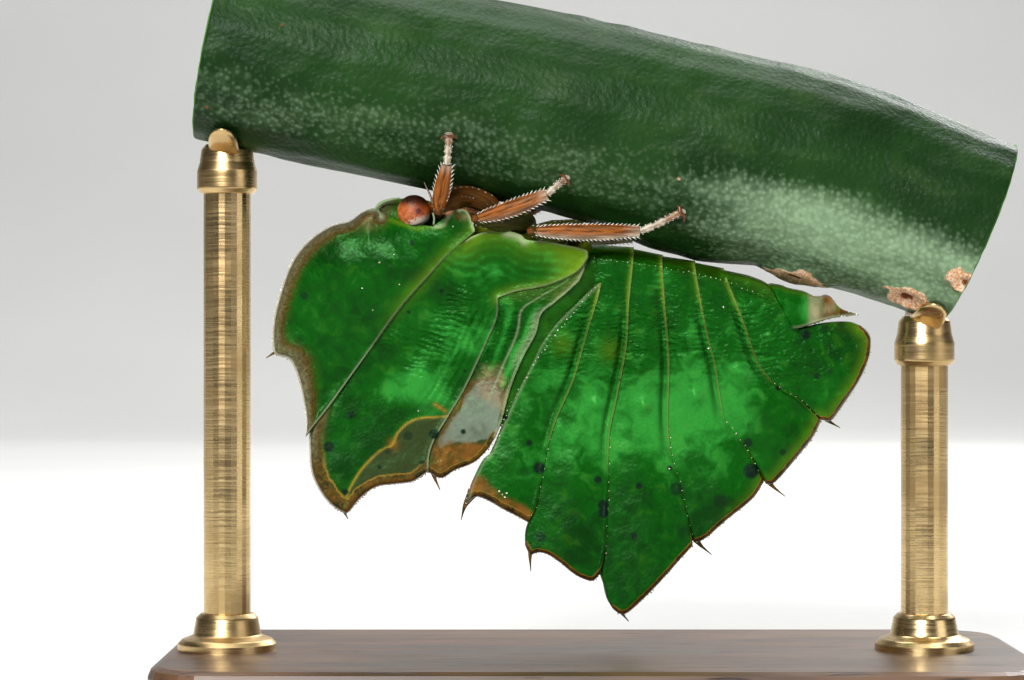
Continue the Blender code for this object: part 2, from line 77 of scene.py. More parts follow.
# Outlines of the plates of the back, each from its front to its rear edge
PRONOTUM_FRONT = [(-5.02, 11.43), (-5.11, 11.59), (-5.24, 11.60), (-5.48, 11.50), (-5.75, 11.31),
                  (-6.12, 11.22), (-6.54, 10.98), (-6.91, 10.62), (-7.17, 10.17), (-7.36, 9.61),
                  (-7.50, 9.04), (-7.54, 8.53), (-7.53, 8.30)]
PRONOTUM_MARGIN = [(-5.02, 11.43), (-4.91, 11.37), (-4.45, 11.23), (-4.16, 11.13), (-3.93, 11.18),
                   (-3.66, 11.18), (-3.53, 11.23), (-3.45, 11.37), (-3.32, 11.54), (-3.20, 11.58),
                   (-3.03, 11.57), (-2.94, 11.45), (-2.90, 11.33), (-2.83, 11.10)]
PRONOTUM_SEAM = [(-2.83, 11.10), (-2.84, 10.99), (-3.44, 10.48), (-3.90, 9.98), (-4.37, 9.46),
                 (-4.74, 9.00), (-5.20, 8.36), (-5.84, 7.48), (-6.22, 6.96), (-6.77, 6.26)]
PRONOTUM_CREST = [(-7.53, 8.30), (-7.46, 8.18), (-7.17, 8.09), (-7.02, 7.85), (-6.91, 7.53), (-6.82, 7.15),
                  (-6.75, 6.78), (-6.74, 6.47), (-6.77, 6.26)]
PRONOTUM_FLOOR = [(-4.98, 11.29), (-4.67, 10.96), (-4.28, 10.80), (-3.62, 10.82), (-3.11, 10.91),
                  (-2.87, 10.91)]
MESONOTUM_FRONT = [(-3.01, 10.87), (-3.62, 10.49), (-4.09, 10.00), (-4.56, 9.49), (-4.93, 9.04),
                   (-5.38, 8.41), (-6.01, 7.57), (-6.36, 7.03), (-6.66, 6.40), (-6.67, 5.91), (-6.66, 5.63),
                   (-6.59, 5.30), (-6.36, 4.88), (-6.08, 4.60), (-5.82, 4.46)]
MESONOTUM_MARGIN = [(-3.01, 10.87), (-2.86, 10.96), (-2.68, 11.03), (-2.47, 11.08), (-2.24, 11.09),
                    (-1.99, 11.07), (-1.73, 10.99), (-1.58, 10.87), (-1.17, 10.84), (-0.72, 10.76),
                    (-0.26, 10.66), (-0.14, 10.56)]
MESONOTUM_FLOOR = [(-2.93, 10.70), (-2.40, 10.74), (-1.70, 10.72), (-1.00, 10.62), (-0.30, 10.45)]
PAD_REAR = [(-0.14, 10.56), (-0.16, 10.40), (-0.35, 10.14), (-0.65, 9.96), (-1.15, 9.77), (-1.82, 9.65),
            (-2.24, 9.51)]
MESONOTUM_REAR = [(-2.24, 9.51), (-2.27, 9.04), (-2.59, 8.30), (-3.03, 7.38), (-3.39, 6.78), (-3.72, 6.24),
                  (-3.86, 5.84), (-3.88, 5.47)]
MESONOTUM_CREST = [(-5.82, 4.46), (-5.70, 4.56), (-5.47, 4.84), (-5.11, 5.09), (-4.65, 5.16), (-4.28, 5.21),
                   (-4.04, 5.35), (-3.88, 5.47)]
METANOTUM_FRONT = [(-0.47, 10.26), (-0.77, 10.10), (-1.26, 9.93), (-1.92, 9.79), (-2.43, 9.56),
                   (-2.48, 9.04), (-2.80, 8.32), (-3.25, 7.41), (-3.60, 6.80), (-3.90, 6.26), (-4.02, 5.89),
                   (-4.04, 5.54)]
METANOTUM_MARGIN = [(-0.47, 10.26), (-0.19, 10.35)]
METANOTUM_REAR = [(-0.19, 10.35), (-0.33, 9.98), (-0.51, 9.77), (-0.91, 9.42), (-1.24, 9.14), (-1.37, 8.69),
                  (-1.68, 8.11), (-1.94, 7.49), (-2.10, 6.91), (-2.15, 6.69), (-2.31, 6.29)]
METANOTUM_CREST = [(-4.04, 5.54), (-3.83, 5.40), (-3.58, 5.30), (-3.26, 5.49), (-2.84, 5.66), (-2.52, 5.96),
                   (-2.31, 6.29)]
STRIP_FRONT = [(-0.40, 10.62), (-0.54, 10.05), (-1.10, 9.53), (-1.45, 9.14), (-1.61, 8.69), (-1.92, 8.11),
               (-2.17, 7.49), (-2.29, 7.01), (-2.41, 6.66)]
STRIP_MARGIN = [(-0.40, 10.62), (-0.12, 10.75), (0.26, 10.76)]
STRIP_REAR = [(0.26, 10.76), (0.26, 10.45), (0.19, 9.75), (-0.28, 9.35), (-0.72, 8.90), (-1.10, 8.41),
              (-1.33, 7.97), (-1.61, 7.41), (-1.87, 6.87), (-2.10, 6.43)]
STRIP_CREST = [(-2.41, 6.66), (-2.10, 6.43)]

# Rows under a plate's margin, as (share of the way from its floor to its margin, share of its thickness)
HOLLOW = [(0, 0), (0, 0.15), (0, 0.3), (0, 0.45), (0.03, 0.57), (0.12, 0.66), (0.3, 0.74), (0.5, 0.8),
          (0.7, 0.86), (0.86, 0.91), (0.96, 0.96)]

# Seams of the abdomen from belly to crest, the crest of each segment, and the free edge below each seam's end
SEAMS = [
    [(0.05, 9.86), (-0.47, 9.37), (-0.92, 8.93), (-1.28, 8.44), (-1.50, 7.98), (-1.78, 7.41), (-2.03, 6.87),
     (-2.44, 5.92), (-2.62, 5.73), (-2.80, 5.40), (-2.94, 5.05), (-3.02, 4.67)],
    [(0.21, 10.76), (0.21, 10.38), (0.07, 9.46), (-0.23, 8.44), (-0.47, 7.62), (-0.70, 7.08), (-0.89, 6.64),
     (-1.10, 5.96), (-1.33, 4.74), (-1.54, 4.25)],
    [(0.91, 10.70), (0.91, 10.37), (0.82, 9.46), (0.77, 8.48), (0.65, 7.76), (0.51, 7.08), (0.35, 6.26),
     (0.33, 5.07), (0.28, 3.83), (0.23, 3.51), (0.14, 3.08)],
    [(1.59, 10.52), (1.59, 10.31), (1.67, 9.23), (1.75, 8.11), (1.73, 7.08), (1.73, 6.45), (1.82, 5.76),
     (2.01, 5.14), (2.24, 4.11), (2.29, 3.72)],
    [(2.34, 10.38), (2.38, 10.12), (2.62, 8.83), (2.83, 7.98), (2.96, 7.10), (3.08, 6.61), (3.39, 6.22),
     (3.62, 5.87), (3.95, 5.21)],
    [(3.01, 10.21), (3.12, 9.91), (3.46, 9.06), (3.83, 8.02), (4.21, 7.53), (4.46, 7.34), (4.79, 7.14),
     (5.30, 6.66)],
]
CORNERS = {1: [(-1.58, 4.25), (-1.64, 4.00)], 2: [(0.12, 3.08), (0.18, 2.85), (0.26, 2.52)]}
CRESTS = [
    [(-3.02, 4.67), (-2.78, 4.86), (-2.50, 4.77), (-2.17, 4.58), (-1.89, 4.44), (-1.54, 4.25)],
    [(-1.64, 3.73), (-1.52, 3.51), (-1.34, 3.56), (-1.12, 3.52), (-0.84, 3.34), (-0.57, 3.12),
     (-0.33, 2.97), (-0.05, 2.90), (0.14, 3.08)],
    [(0.42, 2.24), (0.58, 2.13), (0.75, 2.15), (1.03, 2.38), (1.52, 2.87), (2.03, 3.44), (2.29, 3.72)],
    [(2.31, 3.79), (2.58, 3.89), (3.08, 4.32), (3.68, 4.81), (3.95, 5.21)],
    [(4.00, 5.16), (4.24, 5.23), (4.79, 5.86), (5.12, 6.29), (5.30, 6.66)],
    [(5.30, 6.66), (5.47, 6.63), (5.59, 6.71), (5.82, 7.03), (6.17, 7.56), (6.39, 8.06), (6.45, 8.41)],
]
TAIL_MARGIN = [(2.84, 10.24), (3.39, 10.12), (3.69, 10.04), (4.07, 9.85), (4.28, 9.47), (4.52, 9.10),
               (4.72, 8.84), (5.00, 8.87), (5.35, 8.94), (5.73, 8.97), (6.01, 8.95), (6.25, 8.85)]
TAIL_REAR = [(6.25, 8.85), (6.36, 8.75), (6.44, 8.60), (6.45, 8.41)]
SEAM_TUCK = 0.2

# Spines of the crest as (root, tip)
SPINES = [((-7.20, 8.30), (-7.69, 8.11)), ((-5.88, 4.75), (-5.77, 4.34)), ((-3.78, 5.62), (-3.62, 5.02)),
          ((-2.90, 4.85), (-3.13, 4.32)), ((-1.44, 3.80), (-1.50, 3.12)), ((0.52, 2.42), (0.79, 1.95)),
          ((2.30, 4.00), (2.73, 3.51)), ((3.95, 5.40), (4.45, 4.87)), ((5.28, 6.85), (5.73, 6.48))]

# Places of marks on the skin, as (x, z, radius, strength)
SPOTS = [(-6.80, 9.56, 0.09, 0.7), (-7.13, 8.95, 0.07, 0.4), (-4.28, 10.80, 0.06, 1),
         (-4.35, 9.18, 0.05, 0.9), (-3.58, 9.68, 0.05, 0.9), (-5.70, 6.78, 0.09, 1), (-6.22, 6.03, 0.13, 1),
         (-3.76, 6.33, 0.12, 1), (-4.37, 6.29, 0.11, 0.6), (-4.84, 5.94, 0.08, 0.6),
         (-5.04, 5.56, 0.05, 0.9), (-4.04, 5.68, 0.07, 0.9), (-3.08, 6.39, 0.06, 1), (-5.84, 4.98, 0.08, 1),
         (-3.05, 7.81, 0.04, 0.9), (-2.10, 6.73, 0.07, 1), (-1.54, 6.13, 0.08, 0.9), (-1.31, 5.54, 0.14, 1),
         (-1.64, 5.45, 0.12, 0.35), (0.07, 5.26, 0.09, 0.9), (1.03, 5.12, 0.08, 1), (0.19, 4.67, 0.13, 1),
         (0.19, 4.49, 0.13, 1), (0.91, 3.95, 0.08, 1), (-1.26, 3.93, 0.12, 0.8), (1.90, 5.05, 0.16, 0.6),
         (2.93, 4.77, 0.16, 0.5), (3.58, 6.13, 0.11, 0.9), (3.65, 5.47, 0.18, 1), (4.39, 5.91, 0.08, 0.8),
         (4.93, 8.65, 0.11, 1), (5.19, 7.69, 0.08, 0.8), (5.49, 7.81, 0.08, 0.4), (5.38, 8.79, 0.09, 0.5),
         (5.75, 8.90, 0.09, 0.5), (4.28, 7.41, 0.07, 0.8), (2.08, 4.02, 0.14, 0.35),
         (-0.47, 4.42, 0.14, 0.3), (4.51, 5.54, 0.06, 0.5), (-3.27, 7.17, 0.04, 0.6),
         (2.45, 5.49, 0.05, 0.4), (0.58, 7.60, 0.03, 0.8), (-2.10, 8.41, 0.03, 0.6), (1.75, 5.53, 0.06, 1)]

# Paler and deeper places, as (x, z, radius, tone). The pale ones on and below the abdomen's bumps and on the
# mesonotum's swelling are painted highlights
TONES_AND_HIGHLIGHTS = [(0.07, 7.01, 0.51, 0.7), (1.19, 6.99, 0.51, 0.7), (2.36, 7.20, 0.56, 0.9), (3.44, 7.76, 0.51, 0.8),
         (-0.82, 6.31, 0.37, 0.4), (0.35, 6.19, 0.51, 0.6), (1.40, 6.19, 0.61, 0.7),
         (2.45, 6.43, 0.58, 0.7), (3.27, 6.89, 0.42, 0.7), (4.21, 8.30, 0.47, 0.3), (1.05, 8.76, 0.33, 0.3),
         (2.22, 8.76, 0.33, 0.3), (0.12, 8.76, 0.28, 0.3), (-2.69, 8.41, 0.33, 0.6),
         (-3.27, 8.30, 0.37, 0.7), (-4.09, 7.29, 0.51, 0.9), (-3.51, 7.01, 0.33, 0.9),
         (-2.10, 9.46, 0.23, 0.4), (-0.82, 10.05, 0.37, 0.4), (-2.92, 7.01, 0.28, 0.8),
         (3.86, 5.84, 0.37, 0.3), (-2.22, 7.36, 0.25, 0.6), (-4.9, 7.3, 0.4, 0.6), (-3.6, 8.9, 0.4, 0.4),
         (-5.42, 6.08, 0.5, -0.7), (-5.9, 5.5, 0.4, -0.6), (-4.6, 6.8, 0.3, -0.6), (-4.9, 8.2, 0.4, -0.4),
         (-0.4, 4.0, 0.6, -0.5), (0.9, 3.3, 0.6, -0.5), (2.9, 4.6, 0.5, -0.4), (5.6, 7.9, 0.5, -0.4),
         (-2.0, 5.6, 0.4, -0.4), (-6.3, 9.9, 0.9, -0.3), (-6.5, 8.9, 0.7, 0.25), (-5.2, 9.0, 0.5, -0.3)]

# Bumps of the abdomen where muscles pull on it from inside
BUMPS = [(0.07, 7.01), (1.19, 6.99), (2.36, 7.20), (3.44, 7.76)]

# Patches of the thorax and of the first segment's corner
GREY_MESONOTUM = [(-5.75, 4.67), (-5.75, 5.02), (-5.47, 5.49), (-5.06, 5.91), (-4.74, 6.08), (-4.63, 6.33),
                  (-4.37, 6.59), (-4.04, 6.71), (-3.62, 6.73), (-3.25, 6.82), (-3.03, 7.20), (-2.99, 7.38),
                  (-3.34, 6.78), (-3.67, 6.24), (-3.86, 5.47), (-4.04, 5.35), (-4.65, 5.16), (-5.47, 4.84)]
GREY_METANOTUM = [(-2.69, 7.69), (-2.92, 7.46), (-3.34, 6.78), (-3.67, 6.24), (-3.86, 5.68), (-3.44, 6.03),
                  (-2.73, 6.08), (-2.41, 6.19), (-2.22, 6.54), (-2.10, 6.94), (-2.15, 7.31), (-2.38, 7.60)]
PINK = [(-2.59, 7.88), (-2.29, 7.88), (-2.08, 7.48), (-1.99, 7.01), (-2.10, 6.87), (-2.34, 7.06),
        (-2.69, 7.31), (-2.78, 7.55)]
RUST_METANOTUM = [(-3.69, 6.03), (-3.27, 6.17), (-2.73, 6.12), (-2.36, 6.19), (-2.52, 5.91), (-2.87, 5.61),
                  (-3.30, 5.30), (-3.62, 5.10), (-4.00, 5.40)]
RUST_SEGMENT = [(-2.90, 5.38), (-2.57, 5.26), (-2.22, 4.91), (-1.80, 4.67), (-1.50, 4.51), (-1.52, 4.13),
                (-2.17, 4.40), (-2.69, 4.64), (-3.11, 4.45), (-3.13, 4.84)]
GOLD = [(-5.80, 4.88), (-5.75, 5.02), (-5.47, 5.49), (-5.06, 5.91), (-4.74, 6.08), (-4.63, 6.33),
        (-4.37, 6.59), (-4.04, 6.71), (-3.62, 6.73), (-3.25, 6.82), (-3.03, 7.20)]
SLIT = [(-3.27, 11.56), (-3.25, 11.46), (-3.17, 11.36)]
BROW_EDGE = [(-5.24, 11.60), (-5.10, 11.60), (-5.00, 11.42)]
DASH = [(-3.75, 7.03), (-3.50, 6.87)]
HINGE = [(-2.85, 9.45), (-2.0, 9.62), (-1.0, 9.75)]
RUSTY_LINE = [(-3.86, 5.84), (-3.34, 6.78), (-2.9, 7.5)]
CRINKLES = [(-3.4, 8.95, 0.4, 1), (-3.8, 8.4, 0.32, 1), (-4.2, 7.9, 0.28, 0.8), (-4.7, 8.6, 0.35, 0.6),
            (-3.2, 9.7, 0.35, 0.6)]
SHOULDER = [(-2.92, 9.46), (-3.46, 8.65), (-3.86, 7.95), (-4.32, 7.13)]
BELLY_FOLD = [(0.0, 10.42), (0.95, 10.33), (2.3, 10.10), (3.1, 9.88), (4.0, 9.52)]
CREASE = [(-0.5, 8.25), (0.3, 8.24), (1.2, 8.22), (2.2, 8.25), (3.2, 8.45), (4.0, 8.75)]

# How wide the brown rims are, by height
RIM_HEIGHTS = [6.3, 7.0, 7.8, 8.2, 8.8, 10.8, 11.3, 11.6]
PRONOTUM_RIM = [0.12, 0.28, 0.45, 0.48, 0.30, 0.32, 0.24, 0.14]
FRONT_HEIGHTS = [4.4, 5.2, 6.2, 7.0, 8.2, 8.7]
MESONOTUM_RIM = [0.35, 0.40, 0.33, 0.14, 0.08, 0.01]
CREST_RIM = 0.25
SEGMENT_RIM = 0.1

# What the skin's material reads at each point. The tone mark carries painted highlights and painted shade as
# well as the green's own tone, and the dip mark carries painted shade
MARKS = ("edge", "old", "seam", "dip", "tone", "spot", "grey", "rust", "pink", "yellow", "gold", "wrinkle")
FAR = 3.0

# Head, eyes, feelers, beak and the tube at the tail
HEAD_TOP = [(-5.06, 11.60), (-4.90, 11.72), (-4.55, 11.79), (-4.15, 11.78), (-3.75, 11.70), (-3.46, 11.50)]
HEAD_BOTTOM = [(-5.06, 11.60), (-4.90, 11.20), (-4.56, 10.80), (-4.04, 10.66), (-3.65, 10.82),
               (-3.46, 11.50)]
BROW = [(-5.10, 0.30, 11.52), (-5.07, 0.34, 11.63), (-4.94, 0.40, 11.73), (-4.75, 0.46, 11.79),
        (-4.55, 0.52, 11.82)]
HEAD_WIDTH = 0.55
EYE_PLACE = (-4.205, 0.86, 11.505)
EYE_RADII = (0.38, 0.45, 0.366)
ANTENNA = [(-3.72, 0.45, 11.48), (-3.72, 0.90, 11.61), (-3.81, 1.15, 11.82), (-3.95, 1.40, 12.14)]
BEAK = [(-3.62, 0, 11.42), (-3.12, 0, 11.49), (-2.85, 0, 11.47), (-2.45, 0, 11.43)]
TAIL_TOP = [(3.98, 9.83), (4.12, 9.86), (4.35, 9.82), (4.53, 9.75), (4.86, 9.68), (5.15, 9.56),
            (5.47, 9.57), (5.74, 9.28), (6.16, 9.13)]
TAIL_LOW = [(4.60, 8.78), (4.80, 8.81), (5.15, 8.92), (5.42, 9.01), (5.73, 9.07), (6.16, 9.11)]

# Legs of one side as (x, distance from the plane of symmetry, z), each foot bent in to the stem
LEGS = {
    "fore": {
        "thigh": [(-2.50, 0.60, 11.15), (-2.42, 0.80, 11.60), (-2.95, 1.02, 11.83), (-3.40, 1.46, 11.70),
                  (-3.62, 1.82, 11.46)],
        "shin": [(-3.62, 1.82, 11.46), (-3.55, 2.00, 11.84), (-3.41, 2.25, 12.48)],
        "foot": [(-3.41, 2.25, 12.48), (-3.39, 2.25, 12.74), (-3.37, 2.15, 12.96), (-3.37, 2.03, 13.14)],
    },
    "mid": {
        "thigh": [(-1.62, 0.68, 10.97), (-1.64, 1.02, 11.25), (-2.21, 1.45, 11.25), (-2.78, 1.84, 11.28)],
        "shin": [(-2.78, 1.84, 11.28), (-1.96, 1.98, 11.51), (-1.15, 2.08, 11.83)],
        "foot": [(-1.15, 2.08, 11.83), (-0.98, 2.05, 11.98), (-0.84, 1.90, 12.10), (-0.72, 1.74, 12.19)],
    },
    "hind": {
        "thigh": [(-0.39, 0.66, 10.70), (-0.42, 1.02, 11.03), (-0.96, 1.45, 11.02), (-1.51, 1.82, 11.01)],
        "shin": [(-1.51, 1.82, 11.01), (-0.28, 1.84, 10.98), (0.96, 1.85, 11.00)],
        "foot": [(0.96, 1.85, 11.00), (1.32, 1.90, 11.14), (1.62, 1.87, 11.29), (1.92, 1.78, 11.44)],
    },
}
THIGH_RADII = [0.16, 0.24, 0.25, 0.12]
SHIN_RADII = [0.075, 0.135, 0.165, 0.178, 0.172, 0.15, 0.12]
SHIN_FLAT = 0.6
FOOT_RADIUS = 0.088

# The stem that it hangs from, by its lower edge, and the stand's places
STEM_RADIUS = 2.27
STEM_UNDERSIDE = [(-9.35, 13.23), (-6.89, 12.71), (-4.56, 12.22), (-2.22, 11.80), (-0.16, 11.36),
                  (2.08, 10.82), (4.02, 10.38), (5.49, 9.93), (7.13, 9.30), (8.05, 8.92)]
BUD = (1.52, 1.35)
SCARS = [(4.72, 0.03, 0.72, 0.5), (7.08, 0.22, 0.5, 0.42), (9.45, 1.00, 0.5, 0.3)]
SWELLING = [(-1.0, 0), (0.3, 0.1), (1.36, 0.27), (2.0, 0.30), (2.45, 0.34), (3.15, 0.27), (3.86, 0.18),
            (4.5, 0.27), (4.8, 0.3), (5.4, 0.2), (6.0, 0.14), (7.0, 0)]
ROD_PLACES = {"left": -8.6, "right": 7.7}
CRADLE_ARC = 0.62
BASE_TOP = 1.3
ROD_FOOT = [(-0.05, 0.3), (-0.02, 1.15), (0.15, 1.15), (0.25, 1.05), (0.35, 0.80), (0.75, 0.72),
            (0.85, 0.62), (0.88, 0.4)]

# Colours, as linear red, green and blue. The pale and deep greens also serve as painted highlights and
# painted shade, and the white is for painted glints
COLOURS = {
    "deep": (0.0003, 0.022, 0.0003), "mid": (0.0008, 0.064, 0.0008), "pale": (0.024, 0.25, 0.028),
    "yellow": (0.11, 0.205, 0.005), "gold": (0.36, 0.225, 0.025), "brown": (0.085, 0.036, 0.005),
    "dark": (0.020, 0.009, 0.003), "rust": (0.18, 0.058, 0.009),
    "olive": (0.032, 0.045, 0.003), "taupe": (0.125, 0.105, 0.052), "silver": (0.62, 0.60, 0.50),
    "grey": (0.026, 0.029, 0.010), "steel": (0.15, 0.175, 0.135), "pink": (0.34, 0.215, 0.12),
    "spot": (0.002, 0.003, 0.005), "glint_white": (0.80, 0.84, 0.74),
}

# Bristles of the legs: which part, its radii and flatness, the rows' angles, and their spacing, length, lean
# and unevenness
HAIRS = [("shin", SHIN_RADII, SHIN_FLAT, (0.15, math.pi - 0.15), 0.098, 0.11, 0.60, 0.03),
         ("shin", SHIN_RADII, SHIN_FLAT, (-0.15, math.pi + 0.15), 0.098, 0.09, 0.62, 0.05),
         ("thigh", THIGH_RADII, 0.85, (0, 1.2, 2.4, 3.6, 4.8), 0.14, 0.05, 0.75, 0.1),
         ("foot", [FOOT_RADIUS] * 3, 0.85, (0, 0.9, 2.2, math.pi, -0.8, -2.3), 0.11, 0.03, 0.75, 0.1)]
BRISTLE_WIDTH = 0.0115

# How olive each thigh is, which is partly its own colour and partly painted shade where it lies under the
# body, how pale each shin and each joint of a foot, and where the hairs of a part are on the map for baking
THIGH_OLIVE_SHADE = {"fore": 0.45, "mid": 0.95, "hind": 0.95}
SHIN_PALE = {"fore": 0.0, "mid": 0.1, "hind": 0.3}
FOOT_PALE = (0.95, 0.75, 0.35)
HAIR_BANDS = {"thigh": 0.02, "shin": 0.35, "foot": 0.68}

# A hair's sides, its rings as (share of its length, size), and the size of its patch on the map for baking
HAIR_SIDES = 5
HAIR_LEVELS = ((-0.15, 1.0), (0.35, 0.8), (0.75, 0.45))
PATCH = 0.0015

# What the legs' material reads at each point, and small measures of feet and eyes
LEG_MARKS = ("joint", "foot", "rib", "olive", "reach", "across", "side")
PAD_SINK = (0, -0.03, 0.02)
LENS_RISE = 0.02

# Rows of pale grains, as (line, spacing, size): along the rims, and on the flanks. CLEAR is a distance from
# the plane of symmetry that is outside the body, from where their places on it are looked for
RIM_BEADS = [(PRONOTUM_FRONT[2:], 0.075, 0.024), (PRONOTUM_CREST, 0.08, 0.02),
             (MESONOTUM_FRONT[8:], 0.08, 0.018), (MESONOTUM_CREST, 0.07, 0.02),
             (METANOTUM_CREST, 0.09, 0.018), (TAIL_REAR, 0.09, 0.014)]
RIM_BEADS += [(crest, 0.08, 0.016) for crest in CRESTS]
FLANK_BEADS = [(SEAMS[0][6:], 0.12, 0.015), (SEAMS[1][6:], 0.23, 0.012), (SEAMS[2][6:], 0.21, 0.012),
               (SEAMS[3][5:], 0.21, 0.012), (SEAMS[4][5:], 0.17, 0.013), (SEAMS[5][4:], 0.15, 0.012),
               (BELLY_FOLD, 0.13, 0.010),
               ([(0.0, 9.75), (-1.2, 8.3), (-2.0, 6.95)], 0.11, 0.013), (TAIL_TOP[4:], 0.09, 0.018),
               (TAIL_LOW[2:], 0.09, 0.018)]
BEAD_JITTER = 0.012
CLEAR = 8
# Places where pale grains stand for glints of light on the flanks: painted highlights
GLINTS = [(1.75, 5.53), (-4.14, 6.87), (-5.45, 9.75), (-5.02, 10.35), (-4.70, 10.52), (-4.56, 9.84),
          (-5.19, 9.23), (3.01, 9.30), (2.64, 8.34), (-2.24, 4.98), (-2.17, 4.91), (-2.10, 4.86),
          (-2.05, 4.93), (-3.32, 11.17)]

# The studio, in metres: the floor, and each light's name, place, size and power
FLOOR_SIDE, FLOOR_TOP = 0.55, 0.55
FLOOR_FRONT, FLOOR_REAR, FLOOR_BEND = -0.03, 0.18, 0.12
LIGHTS = [("Key light", (-0.05, -0.15, 0.085), 0.06, 0.40), ("Fill light", (0.15, -0.10, 0.05), 0.10, 0.05),
          ("Top light", (0.0, 0.06, 0.30), 0.25, 0.9), ("Back light", (0.07, 0.13, 0.10), 0.08, 0.14)]
LIGHT_AIM = (0, 0, 0.0085)
SKY = (0.9, 0.93, 1, 1)
SKY_STRENGTH = 0.07

# How finely the bark is divided: rings along it, points round it, and rings of a cut end by their size
STEM_RINGS = 360
STEM_SIDES = 160
STEM_FACE = np.array([0.004, 0.1, 0.2, 0.3, 0.4, 0.5, 0.6, 0.7, 0.8, 0.88, 0.94, 0.98, 0.995])


def smooth_line(points, spans=12):
    """Close points on a smooth curve that passes through the given ones."""
    knots = np.array(points, float)
    knots = np.vstack([2 * knots[0] - knots[1], knots, 2 * knots[-1] - knots[-2]])
    t = np.linspace(0, 1, spans, endpoint=False)[:, None]
    pieces = []
    for before, start, end, after in zip(knots, knots[1:], knots[2:], knots[3:]):
        bend = 2 * before - 5 * start + 4 * end - after
        twist = 3 * start - before - 3 * end + after
        pieces.append(0.5 * (2 * start + (end - before) * t + bend * t ** 2 + twist * t ** 3))
    return np.vstack(pieces + [knots[-2:-1]])


def turns(count):
    """Angles of this many points round a circle."""
    return np.linspace(0, 2 * math.pi, count, endpoint=False)


def unit(vectors):
    """The same directions, each with a length of 1."""
    return vectors / np.linalg.norm(vectors, axis=1)[:, None]


def taper(count, places, sizes):
    """Sizes at this many even steps of a line, from those at some shares of its length."""
    return np.interp(np.linspace(0, 1, count), places, sizes)


STEM_LINE = smooth_line(STEM_UNDERSIDE, 24)


def joined(*lines):
    """One line through several, each smooth in itself, with a corner where they meet."""
    return np.vstack([smooth_line(line) for line in lines])


def line_length(line):
    return np.linalg.norm(np.diff(line, axis=0), axis=1).sum()


def along(line, shares):
    """Points at shares of a line's length."""
    steps = np.concatenate([[0], np.cumsum(np.linalg.norm(np.diff(line, axis=0), axis=1))])
    place = np.asarray(shares) * steps[-1]
    return np.stack([np.interp(place, steps, line[:, axis]) for axis in range(line.shape[1])], axis=-1)


def distance(points, line):
    """How far each point is from a line of short straight pieces."""
    flat = points.reshape(-1, 2)
    line = np.asarray(line, float)
    nearest = np.full(len(flat), np.inf)
    for start, end in zip(line, line[1:]):
        run = end - start
        share = np.clip((flat - start) @ run / max(run @ run, 1e-12), 0, 1)
        nearest = np.minimum(nearest, ((flat - start - share[:, None] * run) ** 2).sum(1))
    return np.sqrt(nearest).reshape(points.shape[:-1])


def from_line(points, line, spans=4):
    """How far each point is from the smooth curve through the given ones."""
    return distance(points, smooth_line(line, spans))


def smooth_step(value, low, high):
    """0 below low, 1 above high, and an S curve between."""
    share = np.clip((value - low) / (high - low), 0, 1)
    return share * share * (3 - 2 * share)


def window(value, low, high, soft):
    """1 between low and high, and 0 beyond, with soft sides."""
    return smooth_step(value, low - soft, low + soft) * smooth_step(-value, -high - soft, -high + soft)


def round_in(value, reach):
    """Rises from 0 to 1 along a quarter of a circle as the value goes from 0 to reach."""
    return np.sqrt(np.clip(1 - (1 - np.clip(value / reach, 0, 1)) ** 2, 0, 1))


def ridge(value, place, width):
    """A soft rounded ridge of height 1."""
    return np.exp(-((value - place) / width) ** 2)


def blob(points, x, z, radius):
    return np.exp(-((points[..., 0] - x) ** 2 + (points[..., 1] - z) ** 2) / radius ** 2)


def noise(x, z, size, seed):
    """Smooth noise from -1 to 1 whose lumps are about one size across."""
    table = np.random.default_rng(seed).uniform(-1, 1, (97, 97))
    column, row = np.floor(x / size).astype(int), np.floor(z / size).astype(int)
    across, up = x / size - column, z / size - row
    across, up = across ** 2 * (3 - 2 * across), up ** 2 * (3 - 2 * up)

    def corner(i, j):
        return table[(column + i) % 97, (row + j) % 97]

    low = corner(0, 0) * (1 - across) + corner(1, 0) * across
    high = corner(0, 1) * (1 - across) + corner(1, 1) * across
    return low * (1 - up) + high * up


def inside(points, outline, soft=0.06):
    """1 inside a closed outline and 0 outside it, with a soft, slightly ragged border."""
    x, z = points[..., 0], points[..., 1]
    ring = list(outline) + [outline[0]]
    within = np.zeros(x.shape, bool)
    for (x1, z1), (x2, z2) in zip(ring, ring[1:]):
        crosses = (z1 > z) != (z2 > z)
        within ^= crosses & (x < x1 + (x2 - x1) * (z - z1) / ((z2 - z1) or 1))
    away = distance(points, ring)
    away = np.where(within, away, -away) + 0.06 * noise(x, z, 0.2, 21) + 0.03 * noise(x, z, 0.07, 22)
    return smooth_step(away, -soft, soft)


def shares(length, start_round, end_round):
    """Shares of a length one STEP apart, closer together where a border is rounded."""
    close = np.array([0, 0.03, 0.12, 0.27, 0.47, 0.72])
    inner = np.arange(start_round, length - end_round, STEP)
    places = np.concatenate([close * start_round, inner, length - (close * end_round)[::-1]])
    return np.unique(places / length)


def sheet(front, rear, margin, crest, u, v):
    """Side view points between four lines: u runs from front to rear and v from margin to crest."""
    u_grid, v_grid = u[:, None, None], v[None, :, None]
    across = along(front, v)[None] * (1 - u_grid) + along(rear, v)[None] * u_grid
    down = along(margin, u)[:, None] * (1 - v_grid) + along(crest, u)[:, None] * v_grid
    top = margin[0] * (1 - u_grid) + margin[-1] * u_grid
    low = crest[0] * (1 - u_grid) + crest[-1] * u_grid
    return across + down - top * (1 - v_grid) - low * v_grid


def off_plane(points, depth):
    """Side view points moved to where the photo shows them from this far off the plane of symmetry."""
    centre = np.array([EYE_X, EYE_Z])
    return centre + (points - centre) * (1 - np.asarray(depth)[..., None] / EYE_DISTANCE)


def swell(depth):
    share = np.clip(depth / FLESH_DEPTH, 0, 1)
    return (1 - share) ** 2 * (1 + 2 * share)


